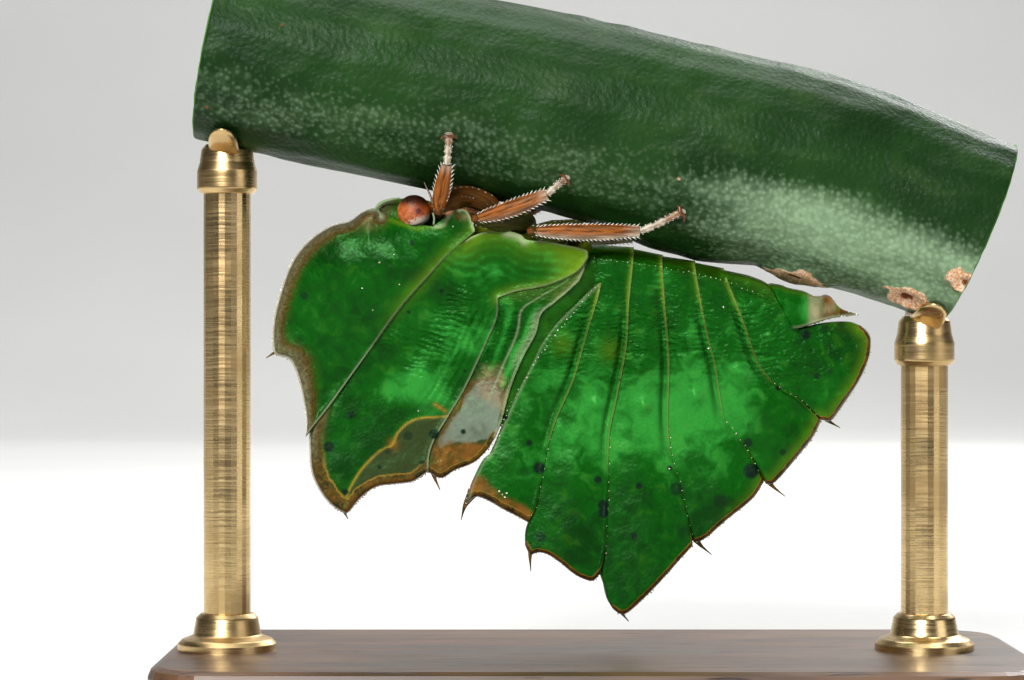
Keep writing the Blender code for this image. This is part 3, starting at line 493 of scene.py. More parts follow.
def flesh(points):
    """Half of the body's thickness at side view points, before any relief."""
    widest = np.interp(points[..., 0], WIDTH_PLACES, WIDTHS)
    depth = from_line(points, BELLY_LINE)
    front = from_line(points, PRONOTUM_FRONT, 3)
    return BLADE + (widest - BLADE) * swell(depth) * round_in(front, FRONT_REACH)


def leather(points):
    """The uneven surface that all plates share."""
    x, z = points[..., 0], points[..., 1]
    return 0.024 * noise(x, z, 0.55, 3) + 0.015 * noise(x, z, 0.26, 4) + 0.007 * noise(x, z, 0.12, 5)


def marked(points, **given):
    """A value for each mark at each point: 0 where none is given, and far from any edge."""
    marks = {name: np.zeros(points.shape[:2]) for name in MARKS}
    marks["edge"] += FAR
    marks["wrinkle"] += 0.3
    for x, z, radius, strength in SPOTS:
        away = np.hypot(points[..., 0] - x, points[..., 1] - z)
        dot = strength * smooth_step(-away, -1.15 * radius, -0.8 * radius)
        marks["spot"] = np.maximum(marks["spot"], dot)
    for x, z, radius, tone in TONES_AND_HIGHLIGHTS:
        marks["tone"] += tone * blob(points, x, z, radius)
    marks["tone"] += given.pop("tone", 0)
    for name, value in given.items():
        marks[name] = np.broadcast_to(np.asarray(value, float), points.shape[:2])
    return marks


def body(name, points, faces, marks=None, material=None):
    """A smooth mesh object in metres from points in millimetres, with the values that its material reads."""
    mesh = bpy.data.meshes.new(name)
    mesh.from_pydata((np.asarray(points, float) * MM).tolist(), [], [list(face) for face in faces])
    mesh.shade_smooth()
    marks = dict(marks or {})
    marks["made"] = np.ones(len(mesh.vertices))
    for key, values in marks.items():
        flat = np.broadcast_to(np.asarray(values, np.float32), len(mesh.vertices))
        mesh.attributes.new(key, "FLOAT", "POINT").data.foreach_set("value", np.ascontiguousarray(flat))
    if material is not None:
        mesh.materials.append(material)
    item = bpy.data.objects.new(name, mesh)
    bpy.context.scene.collection.objects.link(item)
    return item


def paint(item, material):
    """Gives a piece this material alone."""
    item.data.materials.clear()
    item.data.materials.append(material)


def grid_faces(wide, high):
    """Quads of a grid of points numbered column by column."""
    corner = (np.arange(wide - 1)[:, None] * high + np.arange(high - 1)).ravel()
    return np.stack([corner, corner + 1, corner + high + 1, corner + high], axis=1)


def pillow(name, points, half, marks):
    """A closed body from a side view grid and half its thickness, which is 0 all round the grid's border."""
    wide, high = half.shape
    place = off_plane(points, half)
    right = np.stack([place[..., 0], -half, place[..., 1]], axis=-1).reshape(-1, 3)
    number = np.arange(wide * high).reshape(wide, high)
    inner = np.zeros((wide, high), bool)
    inner[1:-1, 1:-1] = True
    other = number.copy()
    other[inner] = wide * high + np.arange(inner.sum())
    left = right[number[inner]] * (1, -1, 1)
    faces = grid_faces(wide, high)
    values = {key: np.concatenate([value.ravel(), value[inner]]) for key, value in marks.items()}
    faces = np.vstack([faces, other.ravel()[faces][:, ::-1]])
    return body(name, np.vstack([right, left]), faces.tolist(), values)


def plate(name, front, rear, margin, crest, form, rounds, floor=None, under=()):
    """One plate of the body. Rows under the margin follow the floor, and the others the flank."""
    front, rear, margin, crest = (line if isinstance(line, np.ndarray) else smooth_line(line)
                                  for line in (front, rear, margin, crest))
    wide = max(line_length(margin), line_length(crest))
    high = max(line_length(front), line_length(rear))
    u = shares(wide, rounds[0], rounds[1])
    v = shares(high, rounds[2], rounds[3])
    points = sheet(front, rear, margin, crest, u, v)
    border = round_in(u[:, None] * wide, rounds[0]) * round_in((1 - u[:, None]) * wide, rounds[1])
    border = border * round_in((1 - v[None]) * high, rounds[3])
    half, marks = form(points, u[:, None] * np.ones(len(v)), v[None] * np.ones((len(u), 1)))
    if floor is None:
        return pillow(name, points, half * border * round_in(v[None] * high, rounds[2]), marks)
    half = half * border
    low = along(smooth_line(floor), u)
    rise, part = np.array(under).T
    under_points = low[:, None] * (1 - rise[None, :, None]) + points[:, :1] * rise[None, :, None]
    under_half = half[:, :1] * part[None]
    marks = {key: np.hstack([np.repeat(value[:, :1], len(rise), axis=1), value])
             for key, value in marks.items()}
    return pillow(name, np.hstack([under_points, points]), np.hstack([under_half, half]), marks)


def pronotum_form(points, u, v):
    x, z = points[..., 0], points[..., 1]
    border = distance(points, joined(PRONOTUM_FRONT, PRONOTUM_CREST)[::4])
    edge = border / np.interp(z, RIM_HEIGHTS, PRONOTUM_RIM)
    seam = from_line(points, PRONOTUM_SEAM)
    grain = smooth_step(-edge, -1.1, -0.8)
    margin = from_line(points, PRONOTUM_MARGIN)
    slit = distance(points, SLIT)
    knob = blob(points, -3.18, 11.48, 0.2)
    relief = 0.09 + 0.8 * leather(points) + 0.05 * ridge(edge, 0.45, 0.4)
    relief = relief + 0.012 * grain * noise(x, z, 0.06, 31)
    relief = relief + 0.05 * ridge(seam, 0, 0.07) + 0.006 * ridge(noise(x, z, 0.9, 8), 0, 0.2)
    relief = relief + 0.10 * knob - 0.06 * ridge(slit, 0, 0.035)
    beige = blob(points, -5.35, 11.45, 0.25) + 0.5 * blob(points, -3.04, 11.42, 0.09)
    # A pale line along the brow's edge is a painted highlight, and a paler line runs along the lobe's margin
    whitish_line_and_highlight = ridge(distance(points, BROW_EDGE), 0, 0.07)
    whitish_line_and_highlight = np.maximum(whitish_line_and_highlight, 0.7 * ridge(margin, 0.01, 0.035) * smooth_step(x, -3.9, -3.7))
    marks = marked(
        points, edge=edge, old=1, seam=np.maximum(0.8 * ridge(seam, 0.015, 0.028), whitish_line_and_highlight),
        pink=np.clip(0.6 * blob(points, -7.1, 7.95, 0.25) + beige, 0, 1), rust=0.95 * ridge(slit, 0, 0.035),
        yellow=0.45 * ridge(seam, 0, 0.2) * smooth_step(z, 8.5, 10.0) + 0.5 * ridge(margin, 0, 0.06),
        grey=0.35 * knob, wrinkle=0.05 + 0.4 * grain + 0.1 * smooth_step(z, 10.3, 11.0),
        tone=0.7 * knob - 0.25 * smooth_step(z, 9.5, 10.8))
    return flesh(points) + relief, marks


def mesonotum_patterns(points, rear, outer):
    """Furrows along the rear edge, where the middle is crinkled, its waves, and the veins near the belly."""
    x, z = points[..., 0], points[..., 1]
    furrows = np.sin(2 * math.pi * rear / 0.17 + 2.5 * noise(x, z, 0.5, 41))
    furrows = furrows * window(rear, 0.16, 0.75, 0.1) * window(z, 7.1, 9.3, 0.3)
    crinkle = np.clip(sum(strength * blob(points, *place) for *place, strength in CRINKLES), 0, 1)
    waves = np.sin(2 * math.pi * (0.92 * z + 0.3 * x + 0.10 * noise(x, z, 0.3, 43)) / 0.125)
    veins = np.sin(2 * math.pi * outer / 0.19 + 2.5 * noise(x, z, 0.7, 44)) * smooth_step(z, 9.7, 10.1)
    return furrows, crinkle, waves, veins


def mesonotum_form(points, u, v):
    x, z = points[..., 0], points[..., 1]
    front, crest = from_line(points, MESONOTUM_FRONT), from_line(points, MESONOTUM_CREST)
    rear, pad = from_line(points, MESONOTUM_REAR), from_line(points, PAD_REAR)
    outer, depth = from_line(points, MESONOTUM_MARGIN), from_line(points, BELLY_LINE)
    edge = np.minimum(front / np.interp(z, FRONT_HEIGHTS, MESONOTUM_RIM), crest / CREST_RIM)
    furrows, crinkle, waves, veins = mesonotum_patterns(points, rear, outer)
    highlit_hump = blob(points, -4.16, 7.48, 0.45)
    relief = 0.02 + (0.4 + 0.6 * smooth_step(z, 6.6, 8.0)) * leather(points)
    relief = relief + 0.12 * np.exp(-(depth / 0.7) ** 2) + 0.045 * ridge(rear, 0, 0.08)
    relief = relief + 0.05 * ridge(pad, 0.05, 0.1) + 0.05 * ridge(from_line(points, SHOULDER, 6), 0, 0.22)
    relief = relief + 0.016 * furrows + 0.016 * crinkle * waves + 0.06 * highlit_hump
    relief = relief - 0.03 * ridge(distance(points, HINGE), 0, 0.1)
    relief = relief + 0.03 * ridge(front, 0.1, 0.12) * smooth_step(-z, -9.0, -8.0)
    relief = relief - 0.03 * ridge(edge, 1.5, 0.4) * smooth_step(z, 6.3, 7.3) + 0.006 * veins
    gold, dash = from_line(points, GOLD), distance(points, DASH)
    patch = inside(points, GREY_MESONOTUM)
    seam = np.maximum(0.6 * ridge(rear, 0.02, 0.03), 0.4 * ridge(pad, 0.03, 0.04))
    # Painted highlights along the wing pad's top edge and the margin, read through the seam mark
    shine = np.maximum(ridge(outer, 0.06, 0.08) * window(x, -2.15, -1.6, 0.12),
                       0.6 * ridge(outer, 0.02, 0.025) * smooth_step(x, -3.6, -3.2))
    yellow = 0.6 * ridge(np.minimum(outer, pad), 0, 0.16) + 0.6 * blob(points, -0.5, 10.3, 0.45)
    yellow = yellow + 0.25 * ridge(outer, 0.1, 0.4)
    yellow = yellow + 0.2 * ridge(front, 0.1, 0.2) * smooth_step(z, 8.5, 9.5)
    # A painted highlight on the swelling above the grey patch, and the tone rising and falling with the
    # crinkled waves, which paints their lit and shaded sides
    tone = 0.3 * window(rear, 0.05, 0.8, 0.2) + 0.35 * crinkle * waves + 0.2 * crinkle - 0.15
    tone = tone + 0.45 * smooth_step(z, 9.7, 10.2) + 0.16 * veins + 0.6 * highlit_hump
    marks = marked(
        points, edge=edge, old=smooth_step(z, 5.4, 6.2), seam=np.maximum(seam, shine),
        # Painted shade in a dip along the front edge's upper part, and in a dark arc below the swelling
        dip=np.maximum(0.6 * ridge(front, 0.05, 0.1) * smooth_step(z, 8.0, 9.0),
                       0.7 * ridge(gold, 0.22, 0.16) * (1 - patch)),
        grey=0.55 * patch,
        gold=np.maximum(0.75 * ridge(gold, 0, 0.026), 0.4 * ridge(dash, 0, 0.03)),
        rust=np.maximum(blob(points, -4.72, 6.08, 0.13), 0.8 * ridge(dash, 0, 0.05)),
        pink=0.7 * ridge(edge, 0.5, 0.5) * window(z, 6.2, 8.2, 0.3),
        yellow=np.clip(yellow, 0, 1),
        wrinkle=(0.12 + 0.8 * crinkle + 0.3 * window(rear, 0.1, 0.9, 0.2)) * smooth_step(z, 6.3, 7.0),
        tone=tone)
    return flesh(points) + relief, marks


def metanotum_form(points, u, v):
    x, z = points[..., 0], points[..., 1]
    rear = from_line(points, METANOTUM_REAR)
    crest = from_line(points, METANOTUM_CREST)
    depth = from_line(points, BELLY_LINE)
    upper = smooth_step(z, 6.9, 7.5)
    folds = np.sin(2 * math.pi * (3.2 * u + 0.25 * noise(x, z, 0.7, 51)))
    folds = folds * upper * smooth_step(-z, -9.5, -9.0)
    chevrons = np.sin(2 * math.pi * (z + 0.35 * np.abs(np.sin(9 * u)) + 0.06 * noise(x, z, 0.2, 53)) / 0.14)
    relief = 0.03 * np.exp(-(depth / 0.9) ** 2) - 0.02 + leather(points) + 0.03 * folds
    relief = relief + 0.006 * chevrons * upper + 0.05 * blob(points, -2.95, 6.65, 0.45)
    relief = relief + 0.04 * ridge(u, 1, 0.05) - 0.02 * blob(points, -3.1, 5.9, 0.25)
    grey = inside(points, GREY_METANOTUM, 0.1)
    pad = smooth_step(z, 9.3, 9.7) * (0.3 + 0.7 * ridge(rear, 0, 0.15))
    seam = 0.5 * ridge(u, 0.55, 0.02) * upper + 0.6 * ridge(rear, 0.03, 0.04)
    seam = seam + 0.55 * ridge(rear, 0.13, 0.06) * window(z, 7.9, 9.2, 0.2)
    rust = inside(points, RUST_METANOTUM, 0.1) + blob(points, -2.10, 6.87, 0.09)
    rust = rust + 0.6 * ridge(distance(points, RUSTY_LINE), 0, 0.1)
    # The tone rises and falls with the folds, painting their lit and shaded sides
    tone = 0.45 * upper * folds + 0.15 * upper + 0.3 * grey
    tone = tone + 1.2 * ridge(rear, 0.13, 0.1) * window(z, 7.7, 9.3, 0.2)
    marks = marked(
        points, edge=crest / 0.13, seam=seam, grey=np.maximum(grey, 0.2 * pad),
        pink=np.clip(0.6 * inside(points, PINK, 0.2) + 0.2 * pad, 0, 1), rust=np.clip(rust, 0, 1),
        yellow=0.4 * pad, wrinkle=0.15 + 0.6 * upper, tone=tone)
    return flesh(points) + relief, marks


def strip_form(points, u, v):
    marks = marked(points, yellow=0.05 * np.ones(u.shape), wrinkle=0.4, tone=-0.15)
    return flesh(points) - 0.07 + leather(points), marks


def segment_relief(points, u, rear, dip, ribs, fold):
    """How far a segment stands out: its crown, the seam behind it, its bumps, ribs and folds."""
    relief = 0.08 * ridge(u, 0.5, 0.3) - 0.06 * dip + 0.07 * ridge(rear, 0, 0.055)
    relief = relief + (0.45 + 0.55 * smooth_step(points[..., 1], 5.5, 7.5)) * leather(points)
    for place in BUMPS:
        relief = relief + 0.14 * blob(points, *place, 0.19) - 0.05 * blob(points, *place, 0.36)
    relief = relief + 0.012 * ribs - 0.02 * ridge(distance(points, CREASE), 0, 0.05)
    return relief + 0.04 * ridge(fold, 0, 0.05)


def segment_form(number):
    """The form of one segment of the abdomen."""
    rear_line = smooth_line(SEAMS[number + 1], 4) if number < len(SEAMS) - 1 else None
    crest_line = smooth_line(TAIL_REAR + CRESTS[number][::-1] if rear_line is None else CRESTS[number], 4)
    rim = 0.16 if number == 0 else SEGMENT_RIM

    def form(points, u, v):
        x, z = points[..., 0], points[..., 1]
        nowhere = np.full(x.shape, FAR)
        rear = nowhere if rear_line is None else distance(points, rear_line)
        front = from_line(points, SEAMS[0]) if number == 0 else nowhere
        fold, belly = from_line(points, BELLY_FOLD, 6), from_line(points, BELLY_LINE)
        high, top = smooth_step(-v, -0.72, -0.6), smooth_step(z, 8.7, 9.5)
        # The dip before each rear seam is sunk, and painted darker as shade
        dip = ridge(rear, 0.17, 0.07) * smooth_step(v, 0.1, 0.3) * smooth_step(-v, -0.75, -0.5)
        uneven = z + 0.45 * noise(x, z, 0.8, 62)
        ribs = np.sin(2 * math.pi * (z + 0.10 * noise(x, z, 0.25, 61)) / 0.13)
        ribs = ribs * window(uneven, 7.8, 9.9, 0.7) * np.clip(ridge(rear, 0.1, 0.3) + ridge(u, 0, 0.3), 0, 1)
        lower_seam = ridge(rear, 0.01, 0.03) * (1 - high)
        edge = distance(points, crest_line) / rim * (1 - lower_seam) + 0.6 * lower_seam
        yellow = 0.3 * blob(points, -0.75, 8.45, 0.25) + 0.3 * blob(points, 0.35, 8.3, 0.25)
        yellow = yellow + 0.2 * ridge(belly, 0, 0.25) + 0.35 * ridge(rear, 0.03, 0.05) * high
        yellow = yellow + 0.5 * ridge(rear, 0.03, 0.08) * top
        yellow = yellow + 0.35 * ridge(edge * rim, 0.1, 0.15) * smooth_step(x, 2.5, 4.5)
        # Painted highlights on the bumps, and a painted sheen in a pale band across the middle; darker
        # towards the bottom, the tail and the belly
        tone = 0.1 + sum(0.35 * blob(points, *place, 0.16) for place in BUMPS)
        tone = tone + 0.22 * (smooth_step(z, 4.8, 6.2) * smooth_step(-z, -8.8, -7.0))
        tone = tone - 0.35 * smooth_step(-z, -5.6, -4.8) - 0.25 * smooth_step(x, 3.4, 4.4)
        marks = marked(
            points, edge=edge, dip=dip, rust=inside(points, RUST_SEGMENT, 0.1) if number == 0 else 0,
            seam=(0.14 + 0.1 * top) * ridge(rear, 0.02, 0.035) * high + 0.3 * ridge(front, 0.05, 0.04),
            # The tone rises and falls with the ribs, painting their lit and shaded sides
            yellow=np.clip(yellow, 0, 1), tone=tone - 0.35 * ridge(belly, 0, 0.3) + 0.3 * ribs,
            wrinkle=0.15 + 0.65 * window(uneven, 7.9, 9.9, 1.0) + 0.6 * ridge(fold, 0, 0.12))
        return flesh(points) + segment_relief(points, u, rear, dip, ribs, fold), marks

    return form


def tail_form(points, u, v):
    """The tube behind the anus: green at its root, then pale, and brown at its tip."""
    x = points[..., 0]
    half = np.interp(x, [3.8, 4.3, 4.8, 5.2, 5.6, 6.16], [0.78, 0.80, 0.72, 0.58, 0.34, 0.05])
    low = from_line(points, TAIL_LOW)
    wall = from_line(points, TAIL_TOP)
    half = half * (0.88 + 0.15 * ridge(low, 0.03, 0.08)) + 0.5 * leather(points)
    rust = blob(points, 5.42, 9.46, 0.13) + 0.6 * ridge(low, 0.1, 0.07) * window(x, 5.2, 5.8, 0.1)
    marks = marked(
        points, edge=0.35 + 0.9 * smooth_step(-x, -5.85, -5.6) + 3 * smooth_step(-x, -5.7, -5.4),
        pink=0.85 * window(x, 5.03, 5.62, 0.1), rust=np.clip(rust, 0, 1),
        seam=0.9 * ridge(low, 0, 0.045) + 0.4 * ridge(wall, 0, 0.02) + 0.4 * window(x, 5.0, 5.3, 0.1),
        tone=0.5 * window(x, 4.8, 5.05, 0.1), yellow=0.3 * ridge(wall, 0, 0.1), wrinkle=0.3)
    return half, marks


def tucked(seam):
    """A seam moved under the plate before it, less so towards its end at the crest."""
    last = len(seam) - 1
    return [(x - SEAM_TUCK * (1 - 0.75 * (knot / last) ** 4), z) for knot, (x, z) in enumerate(seam)]


def segment(number):
    """One segment of the abdomen, from the seam at its front to the one at its rear."""
    crest = CRESTS[number]
    form = segment_form(number)
    if number == 0:
        rear = [(0.16, 9.89)] + SEAMS[1][2:]
        return plate("segment_0", SEAMS[0], rear, [SEAMS[0][0], rear[0]], crest, form,
                     (BLADE_ROUND, LIP_ROUND, LIP_ROUND, BLADE_ROUND))
    front = tucked(SEAMS[number][:-1]) + CORNERS.get(number, []) + [crest[0]]
    if number == len(CRESTS) - 1:
        return plate("segment_tail", front, TAIL_REAR, TAIL_MARGIN, crest, form,
                     (TUCK_ROUND, BLADE_ROUND, BLADE_ROUND, BLADE_ROUND))
    rear = SEAMS[number + 1]
    return plate(f"segment_{number}", front, rear, [front[0], rear[0]], crest, form,
                 (TUCK_ROUND, LIP_ROUND, BELLY_ROUND, BLADE_ROUND))


def tube_faces(rings, sides):
    """Faces of rings of points in a row, closed by two more points at their ends."""
    ring = np.arange(rings - 1)[:, None] * sides
    step = np.arange(sides)
    after = (step + 1) % sides
    quads = np.stack([ring + step, ring + after, ring + sides + after, ring + sides + step], axis=-1)
    count = rings * sides
    caps = [[count, b, a] for a, b in zip(step, after)]
    caps += [[count + 1, count - sides + a, count - sides + b] for a, b in zip(step, after)]
    return quads.reshape(-1, 4).tolist() + [[int(index) for index in cap] for cap in caps]


def tube(points, radii, sides=14, flat=1.0, ribs=None):
    """Points and faces of a closed limb along a line. Flat thins it along Y, and ribs shape its section."""
    path = np.array(points, float)
    run = unit(np.gradient(path, axis=0))
    across = unit(np.cross(run, (0, 1, 0)))
    side = np.cross(run, across)
    angle = turns(sides)
    reach = np.asarray(radii, float)[:, None, None]
    if ribs is not None:
        reach = reach * (1 + ribs(angle)[None, :, None])
    rings = path[:, None] + reach * (across[:, None] * np.cos(angle)[None, :, None]
                                     + side[:, None] * flat * np.sin(angle)[None, :, None])
    return np.vstack([rings.reshape(-1, 3), path[:1], path[-1:]]), tube_faces(len(path), sides)


def ball(centre, radii, count=24):
    """Points and faces of a closed oval body."""
    turn = np.linspace(0, math.pi, count)[1:-1]
    path = np.outer(-np.cos(turn), (1, 0, 0))
    points, faces = tube(path, np.sin(turn), 2 * count)
    points[-2], points[-1] = (-1, 0, 0), (1, 0, 0)
    return points * radii + centre, faces


def mirrored(points, faces):
    return np.asarray(points) * (1, -1, 1), [list(face)[::-1] for face in faces]


def both_sides(name, shape, marks, material=None):
    """A body at each side of the plane of symmetry, from the points and faces of the left one."""
    left = body(name + "_left", *shape, marks, material)
    return [left, body(name + "_right", *mirrored(*shape), marks, material)]


def even_marks(**given):
    """The same value of each mark for every point of a body."""
    marks = {name: 0.0 for name in MARKS}
    marks.update({"edge": FAR, "wrinkle": 0.4})
    marks.update(given)
    return marks


def spine(number, root, tip):
    """A thorn of the crest with a broad root inside the plate and a fine tip."""
    root, tip = np.array(root, float), np.array(tip, float)
    run = (tip - root) / np.linalg.norm(tip - root)
    start = root - 0.15 * run
    bend = np.array([run[1], -run[0]]) * 0.05
    line = smooth_line([(*start, 0), (*(root + 0.4 * (tip - root) + bend), 0), (*tip, 0)], 10)[:, [0, 2, 1]]
    share = np.linspace(0, 1, len(line))
    radii = 0.13 * (1 - share) ** 1.7 + 0.012
    points, faces = tube(line, radii, 10, 0.7)
    tips = np.append(np.repeat(share, 10), [0, 1])
    return body(f"spine_{number}", points, faces, even_marks(edge=0.5 - 0.4 * tips))


def head_body():
    """The head's capsule: its crown in front, and a swollen face that turns up to the stem."""
    share = np.linspace(0.012, 0.988, 90)
    top, low = along(smooth_line(HEAD_TOP), share), along(smooth_line(HEAD_BOTTOM), share)
    angle = turns(96)
    up, side = np.cos(angle)[None], np.sin(angle)[None]
    width = HEAD_WIDTH * np.sin(math.pi * share) ** 0.45
    middle, arm = (top + low) / 2, (top - low) / 2
    face = np.exp(-(side / 0.5) ** 2) * smooth_step(up, 0.1, 0.6)
    ribs = np.sin(2 * math.pi * share[:, None] * 13) * window(share, 0.3, 0.85, 0.08)[:, None]
    groove = ridge(np.abs(side), 0.62, 0.07) * smooth_step(up, 0, 0.4)
    swollen = 1 + 0.10 * face + 0.012 * ribs * face - 0.05 * groove - 0.03 * ridge(side, 0, 0.05)
    x = middle[:, :1] + arm[:, :1] * up * swollen
    z = middle[:, 1:] + arm[:, 1:] * up * swollen
    y = width[:, None] * side * swollen
    sides = len(angle)
    rings = np.stack([x, y, z], axis=-1).reshape(-1, 3)
    ends = [(HEAD_TOP[0][0], 0, HEAD_TOP[0][1]), (HEAD_TOP[-1][0], 0, HEAD_TOP[-1][1])]
    faces = tube_faces(len(share), sides)
    points = np.vstack([rings, ends])
    front = np.append(np.repeat(smooth_step(-share, -0.35, -0.15), sides), [1, 0])
    pale = np.append((face * window(share, 0.3, 0.85, 0.1)[:, None]).ravel(), [0, 0])
    # The head is darkened all over as painted shade, less so on the swollen face
    marks = even_marks(tone=0.3 * pale - 0.4, yellow=0.1 + 0.3 * pale, grey=0.3 * front, pink=0.15 * front,
                       wrinkle=0.5)
    return body("head_skin", points, [face[::-1] for face in faces], marks)


def head_parts():
    """The head with cheeks, a raised ring round each eye, and two simple eyes on the crown."""
    x, side, z = EYE_PLACE
    items = [head_body()]
    # The cheeks are darkened as painted shade
    items += both_sides("cheek", ball((x + 0.02, 0.5, z - 0.06), (0.37, 0.34, 0.31)),
                        even_marks(yellow=0.1, tone=-0.5, grey=0.1))
    turn = turns(60)
    ring = np.stack([x + 0.36 * np.cos(turn), np.full(60, side - 0.16), z - 0.02 + 0.335 * np.sin(turn)],
                    axis=-1)
    items += both_sides("eye_ring", ring_tube(ring, 0.035, 10), even_marks(yellow=0.6, tone=0.2))
    lip = smooth_line([(x + 0.43, 0.84, z - 0.02), (x + 0.47, 0.93, z - 0.16), (x + 0.46, 0.97, z - 0.32)], 8)
    items += both_sides("lip", tube(lip, np.full(len(lip), 0.022), 10), even_marks(seam=0.9, tone=0.5))
    # The brow ridge is painted pale: a painted highlight along it
    brow = smooth_line(BROW)
    radii = taper(len(brow), [0, 0.4, 1], [0.03, 0.045, 0.02])
    items += both_sides("brow", tube(brow, radii), even_marks(seam=0.8, tone=0.6))
    items += both_sides("ocellus", ball((-4.92, 0.2, 11.62), (0.06, 0.06, 0.06), 12), even_marks(rust=1))
    return items


def ring_tube(path, radius, sides):
    """Points and faces of a closed ring of tube round the Y axis."""
    centre = path.mean(0)
    out = unit(path - centre)
    angle = turns(sides)
    points = path[:, None] + radius * (out[:, None] * np.cos(angle)[None, :, None]
                                       + np.array([0, 1, 0]) * np.sin(angle)[None, :, None])
    count = len(path)
    at = np.arange(count)[:, None] * sides
    after = (np.arange(count)[:, None] + 1) % count * sides
    step = np.arange(sides)[None]
    turn = (step + 1) % sides
    faces = np.stack([at + step, after + step, after + turn, at + turn], axis=-1).reshape(-1, 4)
    return points.reshape(-1, 3), faces.tolist()


def hips():
    """A swollen first joint at the root of each leg."""
    items = []
    for name, parts in LEGS.items():
        root = np.array(parts["thigh"][0])
        knee = np.array(parts["thigh"][1])
        path = smooth_line([root + (0, -0.35, -0.35), root, root * 0.45 + knee * 0.55], 8)
        radii = taper(len(path), [0, 0.5, 0.85, 1], [0.34, 0.30, 0.25, 0.16])
        marks = even_marks(yellow=0.5, rust=0.35, tone=-0.2)
        items += both_sides("hip_" + name, tube(path, radii, 24), marks)
    return items


def union(name, items, marks):
    """One closed skin from several bodies that overlap."""
    group = bpy.data.collections.new("Bodies of " + name)
    bpy.context.scene.collection.children.link(group)
    for item in items[1:]:
        bpy.context.scene.collection.objects.unlink(item)
        group.objects.link(item)
    whole = items[0]
    whole.name = name
    boolean = whole.modifiers.new("Union", "BOOLEAN")
    boolean.operation = "UNION"
    boolean.operand_type = "COLLECTION"
    boolean.collection = group
    boolean.solver = "MANIFOLD"
    graph = bpy.context.evaluated_depsgraph_get()
    mesh = bpy.data.meshes.new_from_object(whole.evaluated_get(graph))
    whole.modifiers.clear()
    whole.data = mesh
    for item in items[1:]:
        bpy.data.objects.remove(item)
    bpy.data.collections.remove(group)
    mend_marks(mesh, marks)
    mesh.shade_smooth()
    mesh.set_sharp_from_angle(angle=math.radians(50))
    return whole


def read_mark(mesh, name):
    values = np.zeros(len(mesh.vertices), np.float32)
    mesh.attributes[name].data.foreach_get("value", values)
    return values


def mend_marks(mesh, names):
    """Points made where bodies cross come without marks, and take the mean of their neighbours'."""
    marks = np.stack([read_mark(mesh, name) for name in names], axis=1)
    known = read_mark(mesh, "made") > 0.99
    ends = np.zeros(len(mesh.edges) * 2, np.int32)
    mesh.edges.foreach_get("vertices", ends)
    ends = np.vstack([ends.reshape(-1, 2), ends.reshape(-1, 2)[:, ::-1]])
    for _ in range(4):
        near = ends[~known[ends[:, 0]] & known[ends[:, 1]]]
        total, count = np.zeros(marks.shape), np.zeros(len(marks))
        np.add.at(total, near[:, 0], marks[near[:, 1]])
        np.add.at(count, near[:, 0], 1)
        found = count > 0
        marks[found] = total[found] / count[found, None]
        known = known | found
    for name, values in zip(names, marks.T):
        mesh.attributes[name].data.foreach_set("value", np.ascontiguousarray(values, np.float32))


def make_skin(material):
    items = [
        plate("pronotum_skin", PRONOTUM_FRONT, PRONOTUM_SEAM, PRONOTUM_MARGIN, PRONOTUM_CREST, pronotum_form,
              (BLADE_ROUND, LIP_ROUND, LIP_ROUND, BLADE_ROUND), PRONOTUM_FLOOR, HOLLOW),
        plate("mesonotum_skin", MESONOTUM_FRONT, joined(PAD_REAR, MESONOTUM_REAR), MESONOTUM_MARGIN,
              MESONOTUM_CREST, mesonotum_form, (TUCK_ROUND, LIP_ROUND, LIP_ROUND, BLADE_ROUND),
              MESONOTUM_FLOOR, HOLLOW),
        plate("metanotum_skin", METANOTUM_FRONT, METANOTUM_REAR, METANOTUM_MARGIN, METANOTUM_CREST,
              metanotum_form, (TUCK_ROUND, LIP_ROUND, LIP_ROUND, BLADE_ROUND)),
        plate("strip_skin", STRIP_FRONT, STRIP_REAR, STRIP_MARGIN, STRIP_CREST, strip_form,
              (TUCK_ROUND, LIP_ROUND, BELLY_ROUND, LIP_ROUND)),
    ]
    items += [segment(number) for number in range(len(CRESTS))]
    items.append(plate("tail_skin", [TAIL_TOP[0], TAIL_LOW[0]], [TAIL_TOP[-1], TAIL_LOW[-1]], TAIL_TOP,
                       TAIL_LOW, tail_form, (TUCK_ROUND, LIP_ROUND, BLADE_ROUND, LIP_ROUND)))
    items += [spine(number, root, tip) for number, (root, tip) in enumerate(SPINES)]
    items += head_parts() + hips()
    skin = union("skin", items, MARKS)
    paint(skin, material)
    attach(skin, "root")
    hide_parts("head", "pronotum", "thorax", "abdomen", "wing_pad_right", "wing_pad_left", "anal_tube")
    return skin


